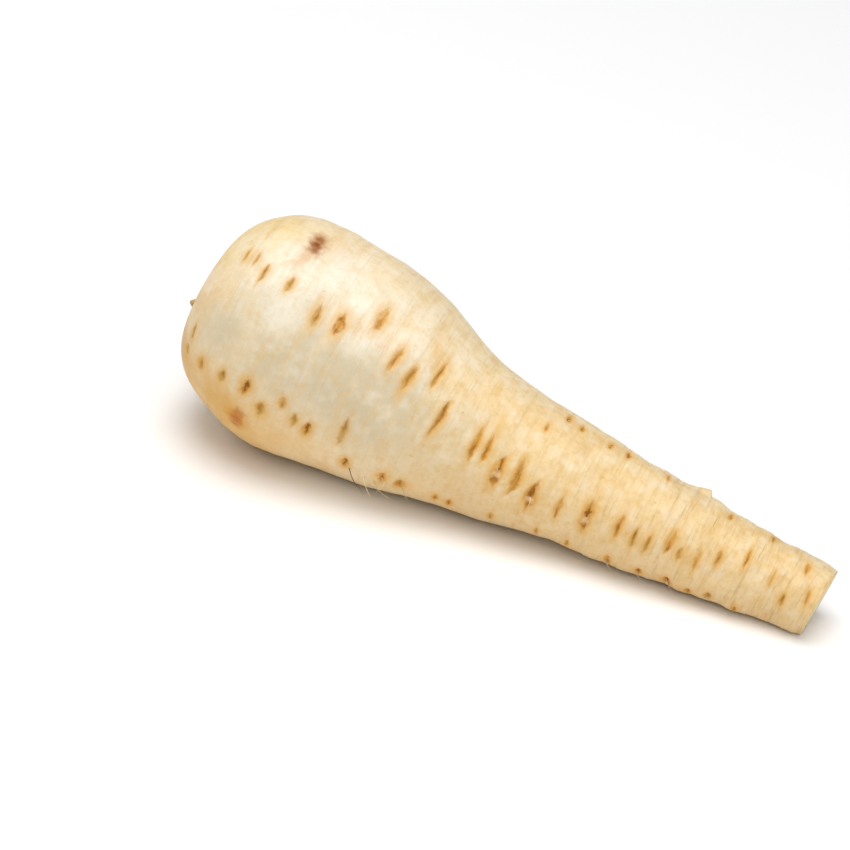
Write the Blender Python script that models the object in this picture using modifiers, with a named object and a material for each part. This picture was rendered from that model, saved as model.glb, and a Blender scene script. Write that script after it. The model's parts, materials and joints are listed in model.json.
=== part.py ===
"""A parsnip as trimmed for the kitchen, lying on its side. Units are metres and +Z is up.

The taproot grew as one piece: a broad shoulder with a sunken crown, a neck, and a tail that was cut square.
In the crown sits the corky plate that the leaf stalks grew from, and in the plate a tuft of young leaf buds.
The root lies along X with its crown at -X. It rests on two flat spots, one under the shoulder and one under
the tail.

A place on the root is given by its distance from the crown along the axis, its radius, and its turn round
the axis, which starts at the front (-Y) and goes up over the top.
"""

import math
import random
from collections import namedtuple

import bmesh
import bpy
from mathutils import Matrix, Vector

MM = 0.001

# Driving dimensions of the root.
LENGTH = 190 * MM
SHOULDER_RADIUS = 33.4 * MM
SHOULDER_PLACE = 29 * MM
RIM_RADIUS = 13.6 * MM
LIP_DEPTH = 0.25 * MM
PIT_MOUTH_RADIUS = 12.6 * MM
PIT_MOUTH_DEPTH = 1.2 * MM
PIT_FLOOR_RADIUS = 11.6 * MM
PIT_DEPTH = 4.5 * MM
GAP = 0.3 * MM
FLAT_DEPTH = 1.0 * MM

# Below the shoulder the radius narrows to the cut: (share of the length, share of the shoulder's radius).
TAPER = ((0.16, 1.0), (0.25, 0.94), (0.33, 0.85), (0.42, 0.68), (0.50, 0.595), (0.60, 0.51), (0.72, 0.445),
         (0.82, 0.39), (0.90, 0.345), (1.0, 0.302))

# FACE_TURN is the side with the most scars. The axis sags behind the shoulder, towards LOW_SIDE, and the tail
# swings a little to the back: (share of the length, distance).
SAG = ((0.0, -0.8 * MM), (0.06, -0.5 * MM), (0.14, 0.5 * MM), (0.25, 0.0), (0.33, 1.0 * MM), (0.43, 3.0 * MM),
       (0.60, 2.4 * MM), (0.80, 1.8 * MM), (1.0, 0.4 * MM))
SWING = ((0.0, 0.0), (0.45, 0.5 * MM), (0.75, -0.8 * MM), (1.0, -2.0 * MM))
FACE_TURN = math.radians(35)
LOW_SIDE = FACE_TURN - math.pi / 2

# The crown's face and the tail's cut are a little out of square. Each leans back on the side that its TURN
# names, by its SLANT, which fades out at the share of the length that its REACH or START gives.
CROWN_SLANT = 0.05
CROWN_TURN = FACE_TURN + math.radians(90)
CROWN_REACH = 0.08
CUT_SLANT = 0.11
CUT_TURN = FACE_TURN + math.radians(-40)
CUT_START = 0.9

# Fineness of the mesh.
SEGMENTS = 44
SHOULDER_RINGS = 14
BODY_RINGS = 86

Scar = namedtuple("Scar", "place turn reach gape depth stub")

# Side roots grew in rows down the root. Each row follows a path: (millimetres from the crown, degrees of turn
# from FACE_TURN). The scars of the hidden rows are spaced by chance, about ROW_SPACING millimetres apart.
FRONT_PATH = ((0, 22), (30, 14), (52, 15), (75, 1), (90, -7), (108, -27), (125, -25), (145, -19), (165, -2),
              (190, -8))
LOWER_PATH = ((0, -44), (40, -43), (60, -64), (95, -73), (130, -79), (160, -77), (190, -75))
UPPER_PATH = ((0, 42), (24, 46), (100, 54), (125, 58), (150, 62), (190, 59))
BACK_PATH = ((0, 140), (60, 128), (110, 150), (150, 140), (190, 152))
UNDER_PATH = ((0, 218), (50, 232), (105, 214), (150, 226), (190, 220))
FRONT_PLACES = (8, 12, 16, 24, 34, 41, 50, 58, 64, 70, 76, 87, 91, 96, 101, 107, 115, 123, 132, 137, 141, 146,
                150, 155, 160, 167, 175, 181, 186)
LOWER_PLACES = (5, 10, 17, 25, 31, 36, 40, 44, 54, 57, 68, 73, 83, 87, 99, 112, 121, 133, 142, 150, 156, 162,
                170, 178)
UPPER_PLACES = (8, 24, 52, 80, 102, 106, 111, 120, 126, 138, 158, 171, 183)
BROKEN_ROOTLETS = (41, 96, 107, 123)
ROW_SPACING = 6.5
ROW_WAVER = 4
SCAR_REACH = 3.4 * MM
SCAR_GAPE = 1.5 * MM
SCAR_DEPTH = 0.9 * MM
ROOTLET_HEIGHT = 1.4 * MM
SEED = 7

# Relief of the skin between the scars.
DENT_HEIGHT = 0.3 * MM
DENT_LENGTH = 37 * MM
FOLD_HEIGHT_AT_CROWN = 0.04 * MM
FOLD_HEIGHT_AT_TAIL = 0.18 * MM
LONG_FOLD = 15 * MM
SHORT_FOLD = 8.3 * MM

# The stump of a side root that broke off near the tail.
SIDE_ROOT_PLACE = 148.5 * MM
SIDE_ROOT_TURN = FACE_TURN + math.radians(86)
SIDE_ROOT_HEIGHT = 2.0 * MM
SIDE_ROOT_REACH = 2.2 * MM

# The plate of the old leaf stalks, and the buds in its middle.
PLATE_RADIUS = 10.9 * MM
PLATE_TOP = 0.6 * MM
PLATE_EDGE = 0.8 * MM
PLATE_DRAFT = 0.5 * MM
PLATE_SEGMENTS = 40
PLATE_RINGS = 9
STALK_RINGS = 3
STALK_HEIGHT = 0.9 * MM
FLAP_TURN = FACE_TURN + math.radians(-44)
FLAP_PLACE = 9.3 * MM
FLAP_HEIGHT = 2.2 * MM
FLAP_REACH = 1.6 * MM
BUD_HOLE_RADIUS = 3.6 * MM
BUD_HOLE_DEPTH = 1.4 * MM
BUDS = 6
BUD_RADIUS = 1.15 * MM
BUD_TIP_RADIUS = 0.4 * MM
BUD_HEIGHT = 3.2 * MM
BUD_SPREAD = 1.9 * MM
BUD_LEAN = 0.18
BUD_SIDES = 8
BUD_DISC_RADIUS = 3.1 * MM
BUD_DISC_THICKNESS = 0.9 * MM


def curve_through(points, x):
    """The height at x of a smooth curve through the points. Beyond its ends the curve is level."""
    if x <= points[0][0]:
        return points[0][1]
    if x >= points[-1][0]:
        return points[-1][1]
    i = max(k for k in range(len(points) - 1) if points[k][0] <= x)
    before, start, end, after = (points[max(0, min(len(points) - 1, k))] for k in (i - 1, i, i + 1, i + 2))
    span = end[0] - start[0]
    t = (x - start[0]) / span
    leave = (end[1] - before[1]) / (end[0] - before[0]) * span
    arrive = (after[1] - start[1]) / (after[0] - start[0]) * span
    return (start[1] * (2 * t**3 - 3 * t**2 + 1) + leave * (t**3 - 2 * t**2 + t)
            + end[1] * (3 * t**2 - 2 * t**3) + arrive * (t**3 - t**2))


def smooth_step(x, start, end):
    t = max(0.0, min(1.0, (x - start) / (end - start)))
    return t * t * (3 - 2 * t)


def skin_radius(place):
    """The plain turned radius: a rounded shoulder from the crown's rim, then the taper to the tail."""
    if place < SHOULDER_PLACE:
        rounding = (1 - (1 - place / SHOULDER_PLACE) ** 2) ** 0.5
        return RIM_RADIUS + (SHOULDER_RADIUS - RIM_RADIUS) * rounding
    return SHOULDER_RADIUS * curve_through(TAPER, place / LENGTH)


def out_of_round(place, turn):
    """How far the section departs from a circle: a little oval and three-sided, turning down the root."""
    share = place / LENGTH
    oval = 0.020 * math.cos(2 * (turn - 0.9 - 0.8 * share))
    three_sided = (0.008 + 0.024 * share) * math.cos(3 * (turn - 0.35 - 0.5 * share))
    return 1 + oval + three_sided


def unevenness(place, turn):
    """Broad shallow dents all over, and short cross folds of the skin that grow towards the tail."""
    share = place / LENGTH
    dents = math.sin(2 * math.pi * place / DENT_LENGTH + 2 * turn) * math.cos(3 * turn - 5 * share)
    long_fold = math.sin(2 * math.pi * place / LONG_FOLD + 1.3 * math.sin(turn + 0.4))
    short_fold = math.sin(2 * math.pi * place / SHORT_FOLD + 1.9 * math.sin(2 * turn + 1.1))
    growth = smooth_step(share, 0.45, 0.9)
    fold_height = FOLD_HEIGHT_AT_CROWN + (FOLD_HEIGHT_AT_TAIL - FOLD_HEIGHT_AT_CROWN) * growth
    return DENT_HEIGHT * dents + fold_height * (long_fold + 0.8 * short_fold)


def nearest_on_mesh(place, turn):
    """The point of the skin's mesh nearest to a scar, where even a small scar shows."""
    segment = 2 * math.pi / SEGMENTS
    if place > SHOULDER_PLACE:
        ring = (LENGTH - SHOULDER_PLACE) / BODY_RINGS
        place = SHOULDER_PLACE + ring * round((place - SHOULDER_PLACE) / ring)
    return place, segment * round(turn / segment)


def row_of_scars(rng, path, places, broken=()):
    """One row of side-root scars: short at the crown, longest at the neck, and short again at the tail."""
    scars = []
    for place in places:
        share = place * MM / LENGTH
        size = 0.55 + 0.75 * math.exp(-((share - 0.5) / 0.28) ** 2)
        turn = FACE_TURN + math.radians(curve_through(path, place) + rng.uniform(-ROW_WAVER, ROW_WAVER))
        reach = SCAR_REACH * size * rng.uniform(0.75, 1.25)
        gape = SCAR_GAPE * rng.uniform(0.9, 1.15)
        depth = SCAR_DEPTH * size * rng.uniform(0.7, 1.3)
        stub = ROOTLET_HEIGHT if place in broken else 0.0
        scars.append(Scar(*nearest_on_mesh(place * MM, turn), reach, gape, depth, stub))
    return scars


def spaced_places(rng):
    """Places down a hidden row, wide and close by turns, about ROW_SPACING apart."""
    places = [rng.uniform(4, 8)]
    while places[-1] < LENGTH / MM - 1.6 * ROW_SPACING:
        places.append(places[-1] + ROW_SPACING * rng.uniform(0.6, 1.5))
    return places


def all_scars():
    rng = random.Random(SEED)
    scars = row_of_scars(rng, FRONT_PATH, FRONT_PLACES, BROKEN_ROOTLETS)
    scars += row_of_scars(rng, LOWER_PATH, LOWER_PLACES)
    scars += row_of_scars(rng, UPPER_PATH, UPPER_PLACES)
    for path in (BACK_PATH, UNDER_PATH):
        scars += row_of_scars(rng, path, spaced_places(rng))
    return scars


def turn_between(a, b):
    """The signed angle from b to a, between minus and plus half a turn."""
    return (a - b + math.pi) % (2 * math.pi) - math.pi


def scar_relief(scars, place, turn, radius):
    """A scar is a slit across the root with swollen lips; in some a broken rootlet stands up in the slit."""
    height = 0.0
    for scar in scars:
        along = (place - scar.place) / scar.gape
        across = turn_between(turn, scar.turn) * radius / scar.reach
        if abs(along) > 3 or abs(across) > 1.2:
            continue
        ends = max(0.0, 1 - (across / 1.2) ** 2)
        slit = math.exp(-(along**2))
        lips = 0.45 * math.exp(-((abs(along) - 1.7) ** 2))
        rootlet = scar.stub * math.exp(-(along**2) - (2.5 * across) ** 2)
        height += ends * (lips - slit) * scar.depth + rootlet
    return height


def side_root_relief(place, turn, radius):
    along = (place - SIDE_ROOT_PLACE) / SIDE_ROOT_REACH
    across = turn_between(turn, SIDE_ROOT_TURN) * radius / SIDE_ROOT_REACH
    return SIDE_ROOT_HEIGHT * math.exp(-(along**4) - across**4)


def away_from_axis(turn):
    return Vector((0, -math.cos(turn), math.sin(turn)))


def on_the_root(place, radius, turn):
    """Where a place on the root is while its axis lies along +X, with the sag, the swing and the slants."""
    share = place / LENGTH
    low = away_from_axis(LOW_SIDE)
    back = away_from_axis(LOW_SIDE - math.pi / 2)
    slant = CROWN_SLANT * math.cos(turn - CROWN_TURN) * (1 - smooth_step(share, 0, CROWN_REACH))
    slant -= CUT_SLANT * math.cos(turn - CUT_TURN) * smooth_step(share, CUT_START, 1)
    centre = low * curve_through(SAG, share) + back * curve_through(SWING, share)
    return Vector((place + slant * radius, 0, 0)) + centre + radius * away_from_axis(turn)


def turned_mesh(name, profile, segments):
    """The mesh of a turned shape. The profile holds (place, radius) and goes from the axis to the axis."""
    mesh = bpy.data.meshes.new(name)
    points = [(radius, 0, -place) for place, radius in profile]
    mesh.from_pydata(points, [(i, i + 1) for i in range(len(points) - 1)], [])
    turned = bpy.data.objects.new(name, mesh)
    bpy.context.collection.objects.link(turned)
    screw = turned.modifiers.new("turn", "SCREW")
    screw.steps = screw.render_steps = segments
    screw.use_merge_vertices = True
    screw.merge_threshold = 0.00001
    screw.use_normal_calculate = True
    evaluated = turned.evaluated_get(bpy.context.evaluated_depsgraph_get())
    made = bpy.data.meshes.new_from_object(evaluated)
    bpy.data.objects.remove(turned)
    return made


def place_radius_turn(point):
    """Reads a turned mesh's point, which stands on the Z axis with the crown on top."""
    return -point.z, math.hypot(point.x, point.y), math.atan2(point.y, point.x)


def root_profile():
    """From the middle of the crown's pit over the rim and down the skin to the middle of the cut."""
    profile = [(PIT_DEPTH, 0), (PIT_DEPTH, 0.5 * PIT_FLOOR_RADIUS), (PIT_DEPTH, PIT_FLOOR_RADIUS)]
    profile += [(PIT_MOUTH_DEPTH, PIT_MOUTH_RADIUS), (LIP_DEPTH, 0.5 * (PIT_MOUTH_RADIUS + RIM_RADIUS))]
    for i in range(SHOULDER_RINGS):
        place = SHOULDER_PLACE * (1 - math.cos(0.5 * math.pi * i / SHOULDER_RINGS))
        profile.append((place, skin_radius(place)))
    for i in range(BODY_RINGS + 1):
        place = SHOULDER_PLACE + (LENGTH - SHOULDER_PLACE) * i / BODY_RINGS
        profile.append((place, skin_radius(place)))
    return profile + [(LENGTH, 0.5 * profile[-1][1]), (LENGTH, 0)]


def is_skin(place, radius):
    return radius > skin_radius(place) - 0.01 * MM


def root_mesh():
    """The turned root with its section, folds and scars, while its axis lies along +X."""
    scars = all_scars()
    mesh = turned_mesh("root", root_profile(), SEGMENTS)
    for vertex in mesh.vertices:
        place, radius, turn = place_radius_turn(vertex.co)
        shaped = radius * out_of_round(place, turn)
        if is_skin(place, radius):
            shaped += unevenness(place, turn) * smooth_step(place, 0, 10 * MM)
            shaped += scar_relief(scars, place, turn, radius) * smooth_step(place, 2 * MM, 6 * MM)
            shaped += side_root_relief(place, turn, radius)
        vertex.co = on_the_root(place, shaped, turn)
    return mesh


def lying_down(mesh):
    """Lays the root on its shoulder and its tail, with the bottom centre of its box at the origin."""
    tail_low = min((v.co for v in mesh.vertices if v.co.x > LENGTH - 3 * MM), key=lambda co: co.z)
    body = [v.co for v in mesh.vertices if v.co.x < 0.5 * LENGTH]
    lean = max(math.atan2(tail_low.z - co.z, tail_low.x - co.x) for co in body)
    turned = Matrix.Rotation(lean, 4, "Y")
    points = [turned @ v.co for v in mesh.vertices]
    low = Vector(min(p[axis] for p in points) for axis in range(3))
    high = Vector(max(p[axis] for p in points) for axis in range(3))
    centre = (low + high) / 2
    return Matrix.Translation((-centre.x, -centre.y, -low.z - FLAT_DEPTH)) @ turned


def flatten_underside(mesh):
    """Where the root would sink into the surface, its soft skin is pressed flat."""
    for vertex in mesh.vertices:
        vertex.co.z = max(vertex.co.z, 0.0)


def stalk_relief(radius, turn):
    """The cut leaf stalks are broken rings of crescents on the plate. One dried flap stands above them."""
    ring = radius / PLATE_RADIUS * STALK_RINGS
    number = math.floor(ring)
    crescent = math.sin(math.pi * (ring - number)) ** 2
    broken = 0.55 + 0.45 * math.cos((3 + number) * (turn + 0.7 * number))
    across = turn_between(turn, FLAP_TURN) * radius / FLAP_REACH
    along = (radius - FLAP_PLACE) / FLAP_REACH
    flap = FLAP_HEIGHT * math.exp(-(along**2) - across**2)
    return STALK_HEIGHT * crescent * broken + flap


def plate_profile():
    """The plate's top from the hole for the buds outwards, then its side and its flat underside."""
    bottom = PIT_DEPTH - GAP
    profile = [(PLATE_TOP + BUD_HOLE_DEPTH, 0), (PLATE_TOP + BUD_HOLE_DEPTH, BUD_HOLE_RADIUS)]
    for i in range(PLATE_RINGS + 1):
        radius = BUD_HOLE_RADIUS + (PLATE_RADIUS - PLATE_EDGE - BUD_HOLE_RADIUS) * i / PLATE_RINGS
        profile.append((PLATE_TOP, radius))
    profile += [(PLATE_TOP + PLATE_EDGE, PLATE_RADIUS), (bottom, PLATE_RADIUS - PLATE_DRAFT)]
    return profile + [(bottom, 0)]


def plate_mesh():
    mesh = turned_mesh("leaf_stalk_plate", plate_profile(), PLATE_SEGMENTS)
    for vertex in mesh.vertices:
        place, radius, turn = place_radius_turn(vertex.co)
        if place < PLATE_TOP + 0.01 * MM:
            place -= stalk_relief(radius, turn)
        vertex.co = on_the_root(place, radius, turn)
    return mesh


def add_bud(number, tuft):
    """One bud: a short pointed stalk. One stands in the tuft's middle, and the others lean away from it."""
    turn = 2 * math.pi * number / (BUDS - 1)
    spread = 0.0 if number == BUDS - 1 else BUD_SPREAD
    height = BUD_HEIGHT * (1 + 0.28 * math.cos(2.3 * number))
    mesh = bpy.data.meshes.new(f"bud_{number}")
    bud = bmesh.new()
    bmesh.ops.create_cone(bud, cap_ends=True, segments=BUD_SIDES, radius1=BUD_RADIUS,
                          radius2=BUD_TIP_RADIUS, depth=height,
                          matrix=Matrix.Translation((0, 0, 0.5 * height)))
    bmesh.ops.transform(bud, matrix=Matrix.Shear("XY", 4, (BUD_LEAN, 0.0)), verts=bud.verts)
    bmesh.ops.rotate(bud, cent=(0, 0, 0), matrix=Matrix.Rotation(turn, 3, "Z"), verts=bud.verts)
    floor = -(PLATE_TOP + BUD_HOLE_DEPTH - GAP)
    bmesh.ops.translate(bud, vec=(spread * math.cos(turn), spread * math.sin(turn), floor), verts=bud.verts)
    bud.to_mesh(mesh)
    bud.free()
    tuft.objects.link(bpy.data.objects.new(f"bud_{number}", mesh))


def buds_mesh():
    """The tuft of buds, joined into one body with the disc that they grow from."""
    tuft = bpy.data.collections.new("tuft")
    bpy.context.scene.collection.children.link(tuft)
    for number in range(BUDS):
        add_bud(number, tuft)
    floor = PLATE_TOP + BUD_HOLE_DEPTH - GAP
    top = floor - BUD_DISC_THICKNESS
    edge = floor - 0.7 * BUD_DISC_THICKNESS
    disc = turned_mesh("disc", [(top, 0), (edge, BUD_DISC_RADIUS), (floor, BUD_DISC_RADIUS), (floor, 0)],
                       2 * BUD_SIDES)
    joined = bpy.data.objects.new("disc", disc)
    bpy.context.collection.objects.link(joined)
    union = joined.modifiers.new("join", "BOOLEAN")
    union.operation = "UNION"
    union.operand_type = "COLLECTION"
    union.collection = tuft
    union.solver = "EXACT"
    evaluated = joined.evaluated_get(bpy.context.evaluated_depsgraph_get())
    mesh = bpy.data.meshes.new_from_object(evaluated)
    for made in [joined, *tuft.objects]:
        bpy.data.objects.remove(made)
    bpy.data.collections.remove(tuft)
    for vertex in mesh.vertices:
        vertex.co = on_the_root(*place_radius_turn(vertex.co))
    return mesh


def finish(name, colour, roughness):
    material = bpy.data.materials.new(name)
    material.use_nodes = True
    shader = material.node_tree.nodes["Principled BSDF"]
    shader.inputs["Base Color"].default_value = (*colour, 1)
    shader.inputs["Roughness"].default_value = roughness
    shader.inputs["Metallic"].default_value = 0.0
    return material


def add_node(parts, name, mesh, material):
    mesh.name = name
    mesh.materials.clear()
    mesh.materials.append(material)
    mesh.shade_smooth()
    mesh.set_sharp_from_angle(angle=math.radians(40))
    parts.objects.link(bpy.data.objects.new(name, mesh))


def main():
    for old in list(bpy.data.objects):
        bpy.data.objects.remove(old)
    parts = bpy.data.collections.new("parsnip")
    bpy.context.scene.collection.children.link(parts)

    root, plate, buds = root_mesh(), plate_mesh(), buds_mesh()
    lying = lying_down(root)
    for mesh in (root, plate, buds):
        mesh.transform(lying)
    flatten_underside(root)

    add_node(parts, "root", root, finish("cream_skin", (0.86, 0.68, 0.42), 0.45))
    add_node(parts, "leaf_stalk_plate", plate, finish("corky_stalk_base", (0.42, 0.27, 0.13), 0.8))
    add_node(parts, "leaf_buds", buds, finish("young_leaf", (0.55, 0.58, 0.16), 0.5))


main()
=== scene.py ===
# %% [markdown]
# A parsnip, dressed for its portrait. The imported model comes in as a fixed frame: three solids that are
# right in size and place, but plain. Each step below makes the fine version of one piece, around the
# solid it stands for. The frame's box is kept at once, so that the last step can show that nothing has
# grown.

# %% Load the frame
import json
import math
import random

import bmesh
import bpy
import numpy as np
from mathutils import Matrix, Vector

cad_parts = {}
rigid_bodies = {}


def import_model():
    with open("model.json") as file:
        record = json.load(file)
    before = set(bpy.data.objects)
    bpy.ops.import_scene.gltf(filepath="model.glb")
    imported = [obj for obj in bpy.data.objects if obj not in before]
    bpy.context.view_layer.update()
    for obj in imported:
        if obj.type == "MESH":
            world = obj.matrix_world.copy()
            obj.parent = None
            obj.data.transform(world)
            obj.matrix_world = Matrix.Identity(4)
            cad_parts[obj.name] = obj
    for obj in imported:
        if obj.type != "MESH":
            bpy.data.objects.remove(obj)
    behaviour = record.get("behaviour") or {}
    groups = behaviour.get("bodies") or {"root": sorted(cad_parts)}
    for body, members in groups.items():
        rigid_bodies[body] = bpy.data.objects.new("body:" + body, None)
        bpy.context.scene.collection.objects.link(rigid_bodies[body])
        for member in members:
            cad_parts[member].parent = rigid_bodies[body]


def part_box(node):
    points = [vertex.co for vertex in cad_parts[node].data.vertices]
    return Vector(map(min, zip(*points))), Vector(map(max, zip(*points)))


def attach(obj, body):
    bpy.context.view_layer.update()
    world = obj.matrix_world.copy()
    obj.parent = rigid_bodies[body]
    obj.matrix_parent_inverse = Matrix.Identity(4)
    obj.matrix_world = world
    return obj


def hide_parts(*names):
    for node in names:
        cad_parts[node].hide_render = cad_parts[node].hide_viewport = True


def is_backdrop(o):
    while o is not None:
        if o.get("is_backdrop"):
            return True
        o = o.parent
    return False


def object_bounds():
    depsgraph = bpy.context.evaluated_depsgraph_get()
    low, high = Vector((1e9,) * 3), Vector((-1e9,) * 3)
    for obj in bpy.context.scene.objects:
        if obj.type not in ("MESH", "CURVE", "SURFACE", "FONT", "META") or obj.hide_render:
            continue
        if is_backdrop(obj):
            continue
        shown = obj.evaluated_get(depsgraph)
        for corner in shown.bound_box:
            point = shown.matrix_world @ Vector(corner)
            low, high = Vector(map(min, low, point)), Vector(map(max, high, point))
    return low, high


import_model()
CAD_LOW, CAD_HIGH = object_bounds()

ROOT_LOW, ROOT_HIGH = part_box("root")
MM = (ROOT_HIGH.x - ROOT_LOW.x) / 192.5
print("root box, mm:", [round(v / MM, 1) for v in ROOT_HIGH - ROOT_LOW])

# %% [markdown]
# A root's shape follows a rule, so Geometry Nodes can make it. Long sums are hard to read as rows of Math
# nodes, so this small class lets a node's output stand in an ordinary Python sum: each + or * adds one
# Math node. The same formula then works on plain numbers too, which later steps use to find a place on
# the skin. It serves the materials as well, because shader trees have the same Math nodes.

# %% Sums on node sockets
class Field:
    """A number that changes over a surface: a node's output that takes part in ordinary sums."""

    __array_ufunc__ = None

    def __init__(self, socket):
        self.socket = socket

    def __add__(self, other):
        return math_node("ADD", self, other)

    def __sub__(self, other):
        return math_node("SUBTRACT", self, other)

    def __rsub__(self, other):
        return math_node("SUBTRACT", other, self)

    def __mul__(self, other):
        return math_node("MULTIPLY", self, other)

    def __truediv__(self, other):
        return math_node("DIVIDE", self, other)

    def __pow__(self, other):
        return math_node("POWER", self, other)

    def __neg__(self):
        return math_node("MULTIPLY", self, -1.0)

    __radd__ = __add__
    __rmul__ = __mul__


def plug(tree, value, socket):
    """Links a field to a socket, or sets the socket to a plain value."""
    if isinstance(value, Field):
        tree.links.new(value.socket, socket)
    else:
        socket.default_value = value


def math_node(operation, *values):
    tree = next(v for v in values if isinstance(v, Field)).socket.id_data
    node = tree.nodes.new("ShaderNodeMath")
    node.operation = operation
    for value, socket in zip(values, node.inputs):
        plug(tree, value, socket)
    return Field(node.outputs[0])


def of_either(operation, plain):
    """A function that works on fields by a Math node and on numbers by numpy."""
    def work(*values):
        if any(isinstance(v, Field) for v in values):
            return math_node(operation, *values)
        return plain(*values)
    return work


sin, cos, exp = (of_either(o, f) for o, f in (("SINE", np.sin), ("COSINE", np.cos), ("EXPONENT", np.exp)))
absolute, floor = of_either("ABSOLUTE", np.abs), of_either("FLOOR", np.floor)
larger, smaller = of_either("MAXIMUM", np.maximum), of_either("MINIMUM", np.minimum)


def smooth_step(x, start, end):
    if isinstance(x, Field):
        tree = x.socket.id_data
        node = tree.nodes.new("ShaderNodeMapRange")
        node.interpolation_type = "SMOOTHSTEP"
        for value, name in ((x, "Value"), (start, "From Min"), (end, "From Max")):
            plug(tree, value, node.inputs[name])
        return Field(node.outputs["Result"])
    t = np.clip((x - start) / (end - start), 0, 1)
    return t * t * (3 - 2 * t)


print("fields ready; cos of 0 is", float(cos(0.0)))

# %% [markdown]
# These are the rules of the root's shape, the same as the solids follow: how the radius swells and
# narrows, how the axis sags, and how the section departs from a circle. A place is a share of the length
# from the crown, and a turn goes round the axis from the front, over the top. A smooth curve through a
# few points is easier to judge and to change than a long list of radii.

# %% The root's rules
LENGTH = 190 * MM
SHOULDER_RADIUS = 33.4 * MM
SHOULDER_PLACE = 29 * MM
RIM_RADIUS = 13.6 * MM
PIT_MOUTH_RADIUS = 12.6 * MM
PIT_FLOOR_RADIUS = 11.6 * MM
PIT_DEPTH = 4.5 * MM
GAP = 0.3 * MM
TAPER = ((0.16, 1.0), (0.25, 0.94), (0.33, 0.85), (0.42, 0.68), (0.50, 0.595), (0.60, 0.51), (0.72, 0.445),
         (0.82, 0.39), (0.90, 0.345), (1.0, 0.302))
SAG = (
    (0.0, -0.8), (0.06, -0.5), (0.14, 0.5), (0.25, 0.0), (0.33, 1.0), (0.43, 3.0), (0.60, 2.4),
    (0.80, 1.8), (1.0, 0.4))
SWING = ((0.0, 0.0), (0.45, 0.5), (0.75, -0.8), (1.0, -2.0))
FACE_TURN = math.radians(35)
LOW_SIDE = FACE_TURN - math.pi / 2
BACK_SIDE = LOW_SIDE - math.pi / 2


def curve_through(points, x):
    """The heights, at the places x, of a smooth curve through the points. Beyond its ends it is level."""
    px, py = np.array(points, float).T
    x = np.clip(np.asarray(x, float), px[0], px[-1])
    i = np.clip(np.searchsorted(px, x, side="right") - 1, 0, len(px) - 2)
    before, after = np.maximum(i - 1, 0), np.minimum(i + 2, len(px) - 1)
    span = px[i + 1] - px[i]
    t = (x - px[i]) / span
    leave = (py[i + 1] - py[before]) / (px[i + 1] - px[before]) * span
    arrive = (py[after] - py[i]) / (px[after] - px[i]) * span
    return (py[i] * (2 * t**3 - 3 * t**2 + 1) + leave * (t**3 - 2 * t**2 + t)
            + py[i + 1] * (3 * t**2 - 2 * t**3) + arrive * (t**3 - t**2))


def skin_radius(place):
    rounding = np.sqrt(np.clip(1 - (1 - place / SHOULDER_PLACE) ** 2, 0, 1))
    shoulder = RIM_RADIUS + (SHOULDER_RADIUS - RIM_RADIUS) * rounding
    body = SHOULDER_RADIUS * curve_through(TAPER, place / LENGTH)
    return np.where(place < SHOULDER_PLACE, shoulder, body)


def out_of_round(share, turn):
    oval = 0.020 * cos(2 * (turn - 0.9 - 0.8 * share))
    three_sided = (0.008 + 0.024 * share) * cos(3 * (turn - 0.35 - 0.5 * share))
    return 1 + oval + three_sided


def unevenness(share, turn):
    """Broad dents all over, and cross folds that grow towards the tail."""
    place = share * LENGTH
    dents = sin(2 * math.pi / (37 * MM) * place + 2 * turn) * cos(3 * turn - 5 * share)
    long_fold = sin(2 * math.pi / (15 * MM) * place + 1.3 * sin(turn + 0.4))
    short_fold = sin(2 * math.pi / (8.3 * MM) * place + 1.9 * sin(2 * turn + 1.1))
    fold_height = 0.04 + 0.14 * smooth_step(share, 0.45, 0.9)
    folds = fold_height * (long_fold + 0.8 * short_fold)
    return (0.3 * dents + folds) * MM * smooth_step(place, 0.0, 10 * MM)


def slant(share, turn):
    """How far the crown's face and the tail's cut are out of square."""
    crown = 0.05 * cos(turn - FACE_TURN - math.pi / 2) * (1 - smooth_step(share, 0.0, 0.08))
    cut = 0.11 * cos(turn - FACE_TURN + math.radians(40)) * smooth_step(share, 0.9, 1.0)
    return crown - cut


def before_lying(place, radius, turn, low, back):
    """A point's x, y and z while the root's axis still lies along X."""
    x = place + slant(place / LENGTH, turn) * radius
    y = -math.cos(LOW_SIDE) * low - math.cos(BACK_SIDE) * back - radius * cos(turn)
    z = math.sin(LOW_SIDE) * low + math.sin(BACK_SIDE) * back + radius * sin(turn)
    return x, y, z


def axis_offsets(place):
    share = place / LENGTH
    return curve_through(SAG, share) * MM, curve_through(SWING, share) * MM


print("radius at the shoulder, neck and cut, mm:",
      np.round(skin_radius(np.array([0.15, 0.5, 1.0]) * LENGTH) / MM, 1))

# %% [markdown]
# A real root lies on two spots, its shoulder and its tail. To lay it down, the lowest point of the tail
# is joined to the point of the shoulder that makes the steepest line, and the root is leaned until that
# line is level. This is worked out from the rules alone, before any mesh is there, so the tree can use
# the result as an input.

# %% Lay the root down
def bare_skin_point(place, turn):
    low, back = axis_offsets(place)
    share = place / LENGTH
    radius = skin_radius(place) * out_of_round(share, turn) + unevenness(share, turn)
    return before_lying(place, radius, turn, low, back)


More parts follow.
